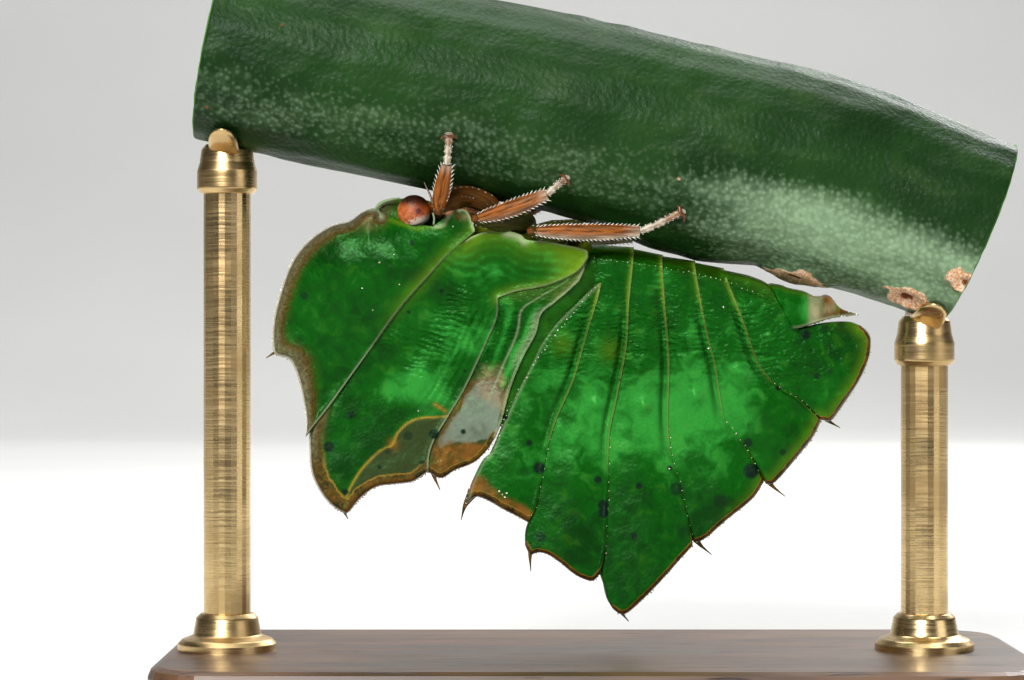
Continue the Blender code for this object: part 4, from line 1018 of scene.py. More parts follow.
class Recipe:
    """Writes the nodes of one material. Its lengths are in millimetres.

    Its patterns follow the object's own coordinates, or three marks that give a place on a limb.
    """

    def __init__(self, name, limb=None):
        self.material = bpy.data.materials.new(name)
        self.material.use_nodes = True
        self.tree = self.material.node_tree
        self.shader = self.tree.nodes["Principled BSDF"]
        if limb is None:
            place = self.tree.nodes.new("ShaderNodeTexCoord").outputs["Object"]
            self.place = self.scaled(place, (1 / MM, 1 / MM, 1 / MM))
        else:
            node = self.tree.nodes.new("ShaderNodeCombineXYZ")
            for socket, mark in zip(node.inputs, limb):
                self.put(socket, self.mark(mark))
            self.place = node.outputs[0]

    def put(self, socket, value):
        if isinstance(value, bpy.types.NodeSocket):
            self.tree.links.new(value, socket)
        elif isinstance(value, str):
            socket.default_value = (*COLOURS[value], 1)
        else:
            socket.default_value = value

    def scaled(self, vector, factors):
        node = self.tree.nodes.new("ShaderNodeMapping")
        self.put(node.inputs["Vector"], vector)
        node.inputs["Scale"].default_value = factors
        return node.outputs["Vector"]

    def math(self, operation, *values, clamp=False):
        node = self.tree.nodes.new("ShaderNodeMath")
        node.operation = operation
        node.use_clamp = clamp
        for socket, value in zip(node.inputs, values):
            self.put(socket, value)
        return node.outputs[0]

    def times(self, *values):
        product = values[0]
        for value in values[1:]:
            product = self.math("MULTIPLY", product, value)
        return product

    def plus(self, *values):
        total = values[0]
        for value in values[1:]:
            total = self.math("ADD", total, value)
        return total

    def rise(self, value, low, high, bottom=0.0, top=1.0):
        """Goes smoothly from bottom to top as the value goes from low to high."""
        node = self.tree.nodes.new("ShaderNodeMapRange")
        node.interpolation_type = "SMOOTHSTEP"
        for socket, number in zip(node.inputs, (value, low, high, bottom, top)):
            self.put(socket, number)
        return node.outputs[0]

    def sway(self, value, size):
        """Goes from minus this size to plus it as a noise goes from its low to its high values."""
        return self.rise(value, 0.3, 0.7, -size, size)

    def mark(self, name):
        node = self.tree.nodes.new("ShaderNodeAttribute")
        node.attribute_name = name
        return node.outputs["Fac"]

    def noise(self, size, detail=3.0, stretch=(1, 1, 1), warp=0.0):
        """Noise from 0 to 1 with lumps of about this size, stretched along an axis by its factor."""
        node = self.tree.nodes.new("ShaderNodeTexNoise")
        self.put(node.inputs["Vector"], self.scaled(self.place, [1 / (size * factor) for factor in stretch]))
        node.inputs["Scale"].default_value = 1
        node.inputs["Detail"].default_value = detail
        node.inputs["Distortion"].default_value = warp
        return node.outputs["Fac"]

    def cells(self, size, feature="F1", stretch=(1, 1, 1)):
        """Distance from the middle of cells about this size across, and a random number for each cell."""
        node = self.tree.nodes.new("ShaderNodeTexVoronoi")
        node.feature = feature
        self.put(node.inputs["Vector"], self.scaled(self.place, [1 / (size * factor) for factor in stretch]))
        node.inputs["Scale"].default_value = 1
        if feature == "DISTANCE_TO_EDGE":
            return node.outputs["Distance"], None
        split = self.tree.nodes.new("ShaderNodeSeparateColor")
        self.put(split.inputs[0], node.outputs["Color"])
        return node.outputs["Distance"], split.outputs[0]

    def dots(self, size, radius, share):
        """Small round dots in a share of the cells."""
        away, lot = self.cells(size)
        return self.times(self.rise(away, radius * 1.3, radius * 0.7), self.math("LESS_THAN", lot, share))

    def mix(self, share, first, second):
        node = self.tree.nodes.new("ShaderNodeMix")
        node.data_type = "RGBA"
        node.clamp_factor = True
        self.put(node.inputs[0], share)
        self.put(node.inputs[6], first)
        self.put(node.inputs[7], second)
        return node.outputs[2]

    def relief(self, height):
        """Bumps of this height in millimetres."""
        node = self.tree.nodes.new("ShaderNodeBump")
        node.inputs["Distance"].default_value = MM
        self.put(node.inputs["Height"], height)
        self.put(self.shader.inputs["Normal"], node.outputs["Normal"])

    def set(self, **values):
        for name, value in values.items():
            self.put(self.shader.inputs[name.replace("_", " ")], value)

    def gloss(self, level, tint):
        """How strongly the surface shines, and in which hue."""
        self.shader.inputs["Specular IOR Level"].default_value = level
        self.shader.inputs["Specular Tint"].default_value = (*tint, 1)


def green_colour(recipe, mark, broad, middle, fine):
    """Deep and paler greens in soft clouds, yellower or deeper where the marks say so. The tone mark brings
    painted highlights and shade, and the dip mark brings painted shade.
    """
    cloudy = recipe.plus(mark["tone"], recipe.sway(broad, 0.35), recipe.sway(middle, 0.28))
    colour = recipe.mix(recipe.rise(cloudy, -0.9, 0.25), "deep", "mid")
    colour = recipe.mix(recipe.times(0.85, recipe.rise(cloudy, 0.1, 1.2)), colour, "pale")
    colour = recipe.mix(recipe.times(0.08, recipe.rise(middle, 0.56, 0.72)), colour, "yellow")
    colour = recipe.mix(recipe.times(0.12, recipe.rise(fine, 0.55, 0.35)), colour, "deep")
    colour = recipe.mix(mark["yellow"], colour, "yellow")
    # Painted shade in the dips
    return recipe.mix(recipe.times(0.75, mark["dip"]), colour, "deep")


def patch_colour(recipe, mark, colour, middle):
    """Grey, pink and rusty patches over the green."""
    pallor = recipe.times(recipe.rise(mark["grey"], 0.6, 1.0), recipe.rise(middle, 0.25, 0.55, 0.6, 1.0))
    grey = recipe.mix(pallor, "grey", "steel")
    colour = recipe.mix(recipe.rise(mark["grey"], 0.0, 0.5, 0.0, 0.94), colour, grey)
    colour = recipe.mix(recipe.times(mark["pink"], recipe.rise(middle, 0.3, 0.6, 0.35, 1)), colour, "pink")
    rusty = recipe.mix(recipe.rise(middle, 0.4, 0.62), "brown", "rust")
    return recipe.mix(mark["rust"], colour, rusty)


def rim_colour(recipe, mark, colour, edge, middle, fine):
    """Brown rims: fresh ones dark with a golden line, old ones taupe and wider, all silvery at the edge."""
    fresh = recipe.mix(recipe.rise(middle, 0.35, 0.62), "dark", "brown")
    fresh = recipe.mix(recipe.times(0.5, recipe.rise(fine, 0.48, 0.7)), fresh, "rust")
    fresh = recipe.mix(recipe.times(0.5, recipe.rise(edge, 0.78, 0.94)), fresh, "gold")
    aged = recipe.mix(recipe.rise(edge, 0.75, 0.3), "brown", "taupe")
    aged = recipe.mix(recipe.times(0.5, recipe.rise(fine, 0.62, 0.4)), aged, "dark")
    aged = recipe.mix(recipe.rise(edge, 0.75, 1.05), aged, "olive")
    soft = recipe.times(0.4, mark["old"])
    border = recipe.rise(edge, recipe.plus(1.05, soft), recipe.math("SUBTRACT", 0.9, soft))
    colour = recipe.mix(border, colour, recipe.mix(mark["old"], fresh, aged))
    return recipe.mix(recipe.times(0.8, recipe.rise(mark["edge"], 0.14, 0.04)), colour, "silver")


def skin_material():
    recipe = Recipe("leaf green skin")
    mark = {name: recipe.mark(name) for name in MARKS}
    broad, middle, fine = recipe.noise(1.3, 4), recipe.noise(0.33, 5, warp=0.6), recipe.noise(0.07, 3)
    colour = green_colour(recipe, mark, broad, middle, fine)
    colour = patch_colour(recipe, mark, colour, middle)
    edge = recipe.plus(mark["edge"], recipe.sway(middle, 0.07), recipe.sway(fine, 0.04))
    colour = rim_colour(recipe, mark, colour, edge, middle, fine)
    colour = recipe.mix(recipe.times(0.8, mark["seam"]), colour, recipe.mix(0.45, "yellow", "silver"))
    colour = recipe.mix(recipe.times(mark["gold"], recipe.rise(middle, 0.3, 0.5, 0.5, 1)), colour, "gold")
    colour = recipe.mix(recipe.times(0.5, recipe.dots(0.55, 0.05, 0.3)), colour, "spot")
    colour = recipe.mix(mark["spot"], colour, "spot")
    # Sparse white dots: painted glints
    colour = recipe.mix(recipe.dots(0.7, 0.022, 0.2), colour, "glint_white")
    cells, _ = recipe.cells(0.085)
    across = recipe.noise(0.085, 2, (3, 1, 1), warp=0.3)
    rough_rim = recipe.times(recipe.rise(edge, 1.1, 0.7), recipe.plus(0.3, recipe.times(0.7, mark["old"])))
    grain, _ = recipe.cells(0.07)
    calm = recipe.rise(mark["old"], 0.0, 1.0, 1.0, 0.25)
    recipe.relief(recipe.plus(
        recipe.times(recipe.plus(0.25, mark["wrinkle"]), 0.014, cells),
        recipe.times(recipe.rise(mark["wrinkle"], 0.15, 0.9), 0.045, across),
        recipe.times(calm, 0.05, recipe.noise(0.7, 1)), recipe.times(calm, 0.006, recipe.noise(0.22, 1)),
        recipe.times(0.003, fine), recipe.times(rough_rim, -0.02, grain)))
    recipe.set(Base_Color=colour, Roughness=recipe.plus(
        recipe.rise(fine, 0.2, 0.8, 0.33, 0.43), recipe.times(0.25, rough_rim)))
    recipe.gloss(0.3, (0.3, 0.9, 0.3))
    return recipe.material


def eye_material():
    recipe = Recipe("compound eye")
    mottle, fine = recipe.noise(0.07, 4, warp=1.0), recipe.noise(0.025, 2)
    colour = recipe.mix(recipe.rise(mottle, 0.35, 0.65), (0.30, 0.052, 0.007, 1), (0.52, 0.135, 0.018, 1))
    pale = recipe.rise(recipe.plus(recipe.mark("pale"), recipe.sway(mottle, 0.25), recipe.sway(fine, 0.15)),
                       0.2, 0.9)
    colour = recipe.mix(recipe.times(0.9, pale), colour, (0.74, 0.66, 0.55, 1))
    # Painted shade darkens the top of the eye
    dark = recipe.rise(recipe.plus(recipe.mark("dark"), recipe.sway(mottle, 0.15)), 0.15, 1.0)
    colour = recipe.mix(recipe.times(0.7, recipe.mark("wine")), colour, (0.16, 0.011, 0.004, 1))
    deepest = recipe.times(0.85, recipe.rise(recipe.mark("wine"), 0.72, 0.95))
    colour = recipe.mix(deepest, colour, (0.06, 0.003, 0.002, 1))
    colour = recipe.mix(dark, colour, (0.014, 0.003, 0.001, 1))
    colour = recipe.mix(recipe.times(0.35, recipe.rise(fine, 0.55, 0.7)), colour, (0.05, 0.01, 0.004, 1))
    recipe.relief(recipe.times(0.004, fine))
    recipe.set(Base_Color=colour, Roughness=recipe.rise(fine, 0.2, 0.8, 0.3, 0.4), Coat_Weight=0.12)
    recipe.shader.inputs["Coat Roughness"].default_value = 0.08
    return recipe.material


def leg_material():
    """Orange-brown shins with dark furrows, olive thighs dimmed partly as painted shade, and whitish feet.
    Streaks run along each limb.
    """
    recipe = Recipe("leg", ("reach", "across", "side"))
    streak, fine = recipe.noise(0.055, 3, (9, 1, 1)), recipe.noise(0.06, 2, (2, 1, 1))
    colour = recipe.mix(recipe.rise(streak, 0.36, 0.62), (0.075, 0.020, 0.003, 1), (0.26, 0.072, 0.007, 1))
    colour = recipe.mix(recipe.times(0.2, recipe.mark("rib")), colour, (0.40, 0.16, 0.05, 1))
    olive = recipe.mix(recipe.rise(fine, 0.35, 0.65), (0.010, 0.024, 0.003, 1), (0.030, 0.045, 0.006, 1))
    colour = recipe.mix(recipe.mark("olive"), colour, olive)
    colour = recipe.mix(recipe.times(0.7, recipe.mark("joint")), colour, (0.05, 0.018, 0.006, 1))
    pale = recipe.mix(recipe.rise(streak, 0.4, 0.6), (0.30, 0.25, 0.17, 1), (0.58, 0.54, 0.44, 1))
    colour = recipe.mix(recipe.mark("foot"), colour, pale)
    recipe.relief(recipe.plus(recipe.times(0.03, streak), recipe.times(0.008, fine)))
    recipe.set(Base_Color=colour, Roughness=recipe.rise(fine, 0.2, 0.8, 0.28, 0.42))
    recipe.gloss(0.25, (1, 0.75, 0.5))
    return recipe.material


def horn_material(name, light, dark, rough):
    """Claws, bristles and beads: one hue that varies from light to dark."""
    recipe = Recipe(name)
    patch, fine = recipe.noise(0.25, 3), recipe.noise(0.03, 2)
    colour = recipe.mix(recipe.rise(patch, 0.35, 0.65), light, dark)
    recipe.relief(recipe.times(0.004, fine))
    recipe.set(Base_Color=colour, Roughness=recipe.rise(fine, 0.2, 0.8, rough, rough + 0.15))
    return recipe.material


def stem_material():
    """Waxy green bark with a granular bloom and a painted sheen in a band, fine lengthwise lines, corky scars
    and cut ends.
    """
    recipe = Recipe("stem bark")
    broad, middle = recipe.noise(2.6, 4), recipe.noise(0.7, 5, (2, 1, 1), warp=0.5)
    line, grain = recipe.noise(0.12, 3, (1, 1, 2.6)), recipe.noise(0.05, 2)
    pebble, _ = recipe.cells(0.11, "SMOOTH_F1")
    colour = recipe.mix(recipe.rise(broad, 0.3, 0.7), (0.003, 0.020, 0.002, 1), (0.010, 0.042, 0.006, 1))
    colour = recipe.mix(recipe.times(0.15, recipe.rise(middle, 0.48, 0.72)), colour, (0.06, 0.13, 0.03, 1))
    # The pale band is a painted sheen, and the dark bark under it painted shade
    bloom_and_sheen = recipe.plus(recipe.mark("bloom_and_sheen"), recipe.sway(middle, 0.08),
                        recipe.rise(pebble, 0.6, 0.1, -0.13, 0.13), recipe.sway(line, 0.06))
    colour = recipe.mix(recipe.rise(bloom_and_sheen, 0.1, 1.3), colour, (0.24, 0.36, 0.21, 1))
    colour = recipe.mix(recipe.dots(0.9, 0.07, 0.25), colour, (0.20, 0.06, 0.02, 1))
    scar = recipe.rise(recipe.plus(recipe.mark("scar"), recipe.sway(middle, 0.25)), 0.35, 0.6)
    cork = recipe.mix(recipe.rise(grain, 0.4, 0.6), (0.52, 0.24, 0.11, 1), (0.68, 0.52, 0.36, 1))
    cork = recipe.mix(recipe.rise(recipe.mark("scar"), 0.8, 1.0), cork, (0.13, 0.035, 0.012, 1))
    colour = recipe.mix(scar, colour, cork)
    flecks = recipe.rise(recipe.noise(0.16, 4), 0.35, 0.65)
    wood = recipe.mix(flecks, (0.42, 0.40, 0.22, 1), (0.62, 0.60, 0.40, 1))
    wood = recipe.mix(recipe.rise(recipe.mark("core"), 0.38, 0.30), wood, (0.72, 0.68, 0.52, 1))
    wood = recipe.mix(recipe.rise(recipe.mark("core"), 0.86, 0.92), wood, (0.10, 0.26, 0.05, 1))
    colour = recipe.mix(recipe.mark("cut"), colour, wood)
    bark = recipe.math("SUBTRACT", 1.0, recipe.mark("cut"), clamp=True)
    recipe.relief(recipe.plus(
        recipe.times(bark, 0.03, middle), recipe.times(bark, 0.012, line), recipe.times(0.006, grain),
        recipe.times(bark, -0.015, pebble),
        recipe.times(scar, 0.05, recipe.noise(0.12, 4))))
    recipe.set(Base_Color=colour, Roughness=recipe.plus(
        recipe.rise(grain, 0.3, 0.7, 0.40, 0.52), recipe.times(0.3, scar),
        recipe.times(0.25, recipe.mark("cut"))))
    recipe.gloss(0.15, (0.85, 1, 0.85))
    return recipe.material


def wood_material():
    """Dark oiled wood, its grain along the base."""
    recipe = Recipe("base wood")
    grain, pore = recipe.noise(0.9, 5, (9, 1, 1), warp=0.4), recipe.noise(0.11, 2, (22, 1, 1))
    ring = recipe.noise(3.5, 3, (6, 1, 1), warp=1.2)
    colour = recipe.mix(recipe.rise(grain, 0.3, 0.7), (0.030, 0.014, 0.007, 1), (0.115, 0.055, 0.026, 1))
    colour = recipe.mix(recipe.times(0.5, recipe.rise(ring, 0.45, 0.6)), colour, (0.16, 0.082, 0.040, 1))
    pores = recipe.rise(pore, 0.40, 0.30)
    colour = recipe.mix(recipe.times(0.8, pores), colour, (0.012, 0.006, 0.003, 1))
    recipe.relief(recipe.plus(recipe.times(-0.03, pores), recipe.times(0.01, grain)))
    recipe.set(Base_Color=colour, Roughness=recipe.rise(grain, 0.2, 0.8, 0.34, 0.46), Coat_Weight=0.15)
    recipe.shader.inputs["Coat Roughness"].default_value = 0.25
    return recipe.material


def brass_material():
    """Turned brass with fine marks round the rod and a little tarnish."""
    recipe = Recipe("stand brass")
    turned, tarnish = recipe.noise(0.045, 2, (30, 30, 1)), recipe.noise(1.4, 4)
    colour = recipe.mix(recipe.rise(tarnish, 0.35, 0.7), (0.72, 0.52, 0.25, 1), (0.50, 0.34, 0.15, 1))
    colour = recipe.mix(recipe.times(0.2, recipe.rise(turned, 0.5, 0.7)), colour, (0.85, 0.68, 0.38, 1))
    recipe.relief(recipe.times(0.0025, turned))
    recipe.set(Base_Color=colour, Metallic=1.0, Roughness=recipe.plus(
        recipe.rise(turned, 0.3, 0.7, 0.20, 0.30), recipe.rise(tarnish, 0.4, 0.8, 0, 0.14)))
    return recipe.material


def floor_material():
    recipe = Recipe("studio floor")
    cloud, tooth = recipe.noise(60, 3), recipe.noise(0.8, 3)
    colour = recipe.mix(recipe.rise(cloud, 0.3, 0.7), (0.70, 0.70, 0.68, 1), (0.76, 0.76, 0.74, 1))
    recipe.relief(recipe.times(0.02, tooth))
    recipe.set(Base_Color=colour, Roughness=recipe.rise(tooth, 0.3, 0.7, 0.75, 0.9))
    return recipe.material


def eye_marks(normals):
    """Where an eye is dark, wine red and pale, from the direction that each point faces. The dark over its
    top is painted shade.
    """
    x, z = normals[:, 0] * EYE_RADII[0], normals[:, 2] * EYE_RADII[2]
    dark = smooth_step(z + 0.1 * x, -0.10, 0.30)
    wine = np.exp(-((x - 0.12) ** 2 + (z + 0.02) ** 2) / 0.15 ** 2)
    pale = smooth_step(-z + 0.25 * x, 0.07, 0.34) * smooth_step(x, -0.38, 0.10)
    return {"dark": np.clip(dark, 0, 1), "wine": wine, "pale": pale}


def sphere(divisions):
    """Points and faces of a sphere of triangles."""
    form = bmesh.new()
    bmesh.ops.create_icosphere(form, subdivisions=divisions, radius=1)
    points = np.array([vertex.co for vertex in form.verts])
    faces = [[vertex.index for vertex in face.verts] for face in form.faces]
    form.free()
    return points, faces


def make_eyes(material):
    """Two domed eyes of many small lenses."""
    lenses, _ = sphere(5)
    centres = kdtree.KDTree(len(lenses))
    for number, lens in enumerate(lenses):
        centres.insert(lens, number)
    centres.balance()
    normals, faces = sphere(7)
    away = np.array([centres.find(normal)[2] for normal in normals])
    points = normals * (1 + LENS_RISE * (1 - (away / away.max()) ** 2))[:, None] * EYE_RADII + EYE_PLACE
    for label, shape in (("left", (points, faces)), ("right", mirrored(points, faces))):
        eye = body(f"eye_{label}_dome", *shape, eye_marks(normals), material)
        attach(eye, "root")
        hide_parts(f"eye_{label}")


def place_pair(name, shape, marks, material):
    """A piece on each side that stands for the CAD node of its name."""
    for item, label in zip(both_sides(name, shape, marks, material), ("left", "right")):
        item.name = f"{name}_{label}_piece"
        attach(item, "root")
        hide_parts(f"{name}_{label}")


def make_feelers(material):
    path = smooth_line(ANTENNA, 30)
    share = np.linspace(0, 1, len(path))
    radii = np.interp(share, [0, 0.22, 0.30, 0.34, 0.46, 0.52, 0.6, 1],
                      [0.17, 0.16, 0.12, 0.135, 0.12, 0.05, 0.026, 0.009])
    shape = tube(path, radii, 20)
    pale = np.append(np.repeat(0.5 * smooth_step(share, 0.5, 0.6), 20), [0, 0.5])
    place_pair("antenna", shape, limb_marks(shape[0], joint=0.5, rib=0.2, foot=pale), material)


def make_beak(material):
    path = smooth_line(BEAK, 24)
    share = np.linspace(0, 1, len(path))
    radii = np.interp(share, [0, 0.35, 0.6, 0.85, 1], [0.24, 0.21, 0.15, 0.09, 0.04])
    radii = radii * (1 - 0.14 * ridge(share, 0.42, 0.015) - 0.14 * ridge(share, 0.7, 0.015))

    def groove(angle):
        return -0.10 * ridge(angle, 0, 0.16) - 0.10 * ridge(angle, 2 * math.pi, 0.16)

    shape = tube(path, radii, 24, 0.85, groove)
    tip = np.append(np.repeat(smooth_step(share, 0.75, 0.95), 24), [0, 1])
    beak = body("beak_piece", *shape, limb_marks(shape[0], joint=tip, rib=0.35, foot=0.1), material)
    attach(beak, "root")
    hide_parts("beak")


def leg_piece(label, path, radii, sides, flat=1.0, ribs=None, **marks):
    """One body of a leg. A mark given as a function of share and angle varies over it."""
    points, faces = tube(path, radii, sides, flat, ribs)
    share, angle = np.meshgrid(np.linspace(0, 1, len(path)), turns(sides), indexing="ij")
    values = {name: 0.0 for name in LEG_MARKS}
    around = np.asarray(radii, float)[:, None] * np.ones(sides)
    marks["reach"] = lambda s, a: s * line_length(np.asarray(path, float))
    marks["across"] = lambda s, a: around * np.cos(a)
    marks["side"] = lambda s, a: around * np.sin(a)
    for name, value in marks.items():
        if callable(value):
            value = value(share, angle).ravel()
            value = np.concatenate([value, value[:1], value[-1:]])
        values[name] = value
    return label, points, faces, values


def limb_marks(points, **given):
    """Marks of a small round body of a leg, whose patterns follow its own points."""
    values = {name: 0.0 for name in LEG_MARKS}
    values.update(zip(("reach", "across", "side"), np.asarray(points).T))
    values.update(given)
    return values


def leg_pieces(parts, pale, olive):
    """The bodies of a left leg: thigh, knee, shin, three foot joints and the pad between the claws."""
    thigh, shin, foot = (smooth_line(parts[key], 16) for key in ("thigh", "shin", "foot"))
    share = np.linspace(0, 1, len(thigh))
    # Olive and the dark joint mark dim the thigh, partly as painted shade
    pieces = [leg_piece("thigh", thigh, np.interp(share, [0, 0.35, 0.7, 1], THIGH_RADII), 28, 0.85,
                        lambda angle: 0.03 * np.cos(4 * angle), olive=olive,
                        joint=1.1 - 0.9 * olive)]
    share = np.linspace(0, 1, len(shin))

    def shin_pale(s, a):
        return np.clip(0.35 * smooth_step(s, 0.82, 1.0) + 2 * pale * smooth_step(-np.cos(a), 0.1, 0.9), 0, 1)

    pieces.append(leg_piece(
        "shin", shin, np.interp(share, np.linspace(0, 1, len(SHIN_RADII)), SHIN_RADII), 48, SHIN_FLAT,
        lambda angle: 0.06 * np.cos(6 * angle), joint=lambda s, a: 0.7 * smooth_step(-s, -0.10, 0),
        rib=lambda s, a: smooth_step(np.cos(6 * a), -0.2, 0.8), foot=shin_pale))
    for number, (low, high) in enumerate(((0, 0.34), (0.30, 0.62), (0.58, 1))):
        joint = along(foot, np.linspace(low, high, 14))
        radii = FOOT_RADIUS * taper(14, [0, 0.2, 0.75, 1], [0.62, 0.85, 1.05, 0.6])
        pieces.append(leg_piece(f"foot_{number}", joint, radii, 20, 0.85, foot=FOOT_PALE[number], rib=0.5,
                                joint=lambda s, a: 0.5 * smooth_step(-s, -0.12, 0)))
    knee, pad = ball(shin[0], (0.095, 0.12, 0.095), 14), ball(foot[-1] + PAD_SINK, (0.11, 0.07, 0.09), 12)
    pieces.append(("knee", *knee, limb_marks(knee[0], joint=0.7)))
    pieces.append(("pad", *pad, limb_marks(pad[0], foot=0.7, olive=0.6)))
    return pieces


def hair_rows(path, radii, flat, angles, spacing, length, lean, uneven, patch):
    """Roots, directions and lengths of hairs in rows along a left limb, and where each is on its unwrap."""
    count = max(2, int(line_length(path) / spacing))
    share = np.linspace(0.04, 0.97, count)
    path, radii = along(path, share), np.interp(share, np.linspace(0, 1, len(radii)), radii)
    run = unit(np.gradient(path, axis=0))
    across = unit(np.cross(run, (0, 1, 0)))
    side = np.cross(run, across)
    draw = np.random.default_rng(len(path) + int(1000 * length))
    rows = []
    for angle in angles:
        turn = angle + draw.normal(0, uneven, count)[:, None]
        out = across * np.cos(turn) + side * np.sin(turn)
        roots = path + radii[:, None] * 0.95 * (across * np.cos(turn) + flat * side * np.sin(turn))
        aim = unit(out * (1 - lean) + run * lean + draw.normal(0, uneven, (count, 3)))
        place = np.stack([np.full(count, patch[0] + patch[1] * angle / (2 * math.pi)),
                          patch[2] + patch[3] * np.linspace(0, 1, count)], axis=1)
        rows.append((roots, aim, length * draw.uniform(0.8, 1.15, count), place))
    return [np.concatenate(column) for column in zip(*rows)]


def hair_faces():
    """Faces of one tapered hair: rings of sides, a tip and a closed root."""
    step = np.arange(HAIR_SIDES)
    after = (step + 1) % HAIR_SIDES
    faces = [[int(a), int(b), int(b) + HAIR_SIDES, int(a) + HAIR_SIDES]
             for level in range(len(HAIR_LEVELS) - 1)
             for a, b in zip(step + level * HAIR_SIDES, after + level * HAIR_SIDES)]
    last = (len(HAIR_LEVELS) - 1) * HAIR_SIDES
    faces += [[last + int(a), last + int(b), last + HAIR_SIDES] for a, b in zip(step, after)]
    faces.append([int(index) for index in step[::-1]])
    return faces


def hair_mesh(name, rows, width, material):
    """Many tapered hairs as one mesh, each with its own small patch of the map for baking."""
    roots, aims, lengths, places = (np.concatenate(column) for column in zip(*rows))
    first = unit(np.cross(aims, (0.3, 0.2, 0.93)))
    second = np.cross(aims, first)
    angle = turns(HAIR_SIDES)
    round_root = first[:, None] * np.cos(angle)[:, None] + second[:, None] * np.sin(angle)[:, None]
    rings = [roots[:, None] + aims[:, None] * (share * lengths)[:, None, None] + width * size * round_root
             for share, size in HAIR_LEVELS]
    tips = (roots + aims * lengths[:, None])[:, None]
    points = np.concatenate(rings + [tips], axis=1)
    each = points.shape[1]
    faces = hair_faces()
    whole = [[index + number * each for index in face] for number in range(len(roots)) for face in faces]
    hairs = body(name, points.reshape(-1, 3), whole, None, material)
    circle = np.stack([np.cos(angle), np.sin(angle)], axis=1)
    spread = np.concatenate([size * circle for _, size in HAIR_LEVELS] + [np.zeros((1, 2))])
    patches = (places[:, None] + PATCH * spread[None]).reshape(-1, 2)
    corners = np.zeros(len(hairs.data.loops), np.int32)
    hairs.data.loops.foreach_get("vertex_index", corners)
    unwrap = hairs.data.uv_layers.new(name="OFBake")
    unwrap.data.foreach_set("uv", patches[corners].astype(np.float32).ravel())
    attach(hairs, "root")
    return hairs


def claw(foot, out):
    """A small curved hook that spreads to one side of the foot's end and grips the bark."""
    run = np.subtract(foot[-1], foot[-2])
    run /= np.linalg.norm(run)
    across = np.cross(run, (0, 1, 0)) * out
    tip = foot[-1] - 0.05 * run + (0, 0.04, 0)
    bend, end = tip + 0.12 * across + 0.05 * run, tip + 0.23 * across - 0.01 * run - (0, 0.06, 0)
    line = smooth_line([tip, bend, end], 8)
    return tube(line, taper(len(line), [0, 0.5, 1], [0.055, 0.05, 0.012]), 12)


def make_legs(shell, bristle, horn):
    rows = []
    for number, (name, parts) in enumerate(LEGS.items()):
        pieces = leg_pieces(parts, SHIN_PALE[name], THIGH_OLIVE_SHADE[name])
        for side, label in ((1, "left"), (-1, "right")):
            items = []
            for part, points, faces, marks in pieces:
                if side < 0:
                    points, faces = mirrored(points, faces)
                items.append(body(f"{name}_{label}_{part}", points, faces, marks))
            leg = union(f"leg_{name}_{label}_piece", items, LEG_MARKS)
            paint(leg, shell)
            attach(leg, "root")
            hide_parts(f"leg_{name}_{label}")
            for hook, out in enumerate((1, -1)):
                shape = claw(np.array(parts["foot"]), out)
                shape = mirrored(*shape) if side < 0 else shape
                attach(body(f"claw_{name}_{label}_{hook}", *shape, None, horn), "root")
            band = (2 * number + (side < 0)) / 6 + 0.01
            for part, radii, flat, angles, *manner in HAIRS:
                found = hair_rows(smooth_line(parts[part], 12), radii, flat, angles, *manner,
                                  (band, 0.14, HAIR_BANDS[part], 0.28))
                for values in found[:2]:
                    values[:, 1] *= side
                rows.append(found)
    hair_mesh("leg_bristles", rows, BRISTLE_WIDTH, bristle)


def skin_point(skin, x, z, side):
    """The point of the skin that a side view shows at (x, z), and the way it faces."""
    start, inward = Vector((x * MM, side * CLEAR * MM, z * MM)), Vector((0, -side, 0))
    hit, place, normal, _ = skin.ray_cast(start, inward)
    if not hit:
        return None
    near = off_plane(np.array([x, z]), abs(place.y) / MM)
    start = Vector((near[0] * MM, side * CLEAR * MM, near[1] * MM))
    hit, place, normal, _ = skin.ray_cast(start, inward)
    return (np.array(place) / MM, np.array(normal)) if hit else None


def bead_places(skin):
    """Centres and sizes of the small pale grains on rims and seams, and of the glints, which are painted
    highlights.
    """
    draw = np.random.default_rng(17)
    places = []
    for line, spacing, size in RIM_BEADS:
        line = smooth_line(line)
        for x, z in along(line, np.arange(0, 1, spacing / line_length(line))):
            spot = (x + draw.normal(0, BEAD_JITTER), draw.normal(0, 0.03), z + draw.normal(0, BEAD_JITTER))
            places.append((spot, size * draw.uniform(0.6, 1.3)))
    flank = [(x, z, size) for line, spacing, size in FLANK_BEADS
             for x, z in along(smooth_line(line), np.arange(0, 1, spacing / line_length(smooth_line(line))))]
    flank += [(x, z, 0.022) for x, z in GLINTS]
    for side in (-1, 1):
        for x, z, size in flank:
            found = skin_point(skin, x + draw.normal(0, BEAD_JITTER), z + draw.normal(0, BEAD_JITTER), side)
            if found is not None:
                places.append((found[0] + found[1] * size * 0.2, size * draw.uniform(0.6, 1.25)))
    return places


def make_beads(skin, material):
    grain, faces = sphere(2)
    places = bead_places(skin)
    centres = np.array([place for place, _ in places])
    sizes = np.array([size for _, size in places])
    draw = np.random.default_rng(5)
    stretch = draw.uniform(0.75, 1.3, (len(places), 1, 3))
    points = centres[:, None] + grain[None] * sizes[:, None, None] * stretch
    whole = np.array(faces)[None] + len(grain) * np.arange(len(places))[:, None, None]
    beads = body("skin_beads", points.reshape(-1, 3), whole.reshape(-1, 3).tolist(), None, material)
    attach(beads, "root")


def stem_frame(share):
    """Points under the stem at shares of its length, and the way up from each."""
    under = along(STEM_LINE, share)
    run = along(STEM_LINE, np.clip(share + 0.01, 0, 1)) - along(STEM_LINE, np.clip(share - 0.01, 0, 1))
    up = np.stack([-run[:, 1], run[:, 0]], axis=1)
    return under, unit(up)


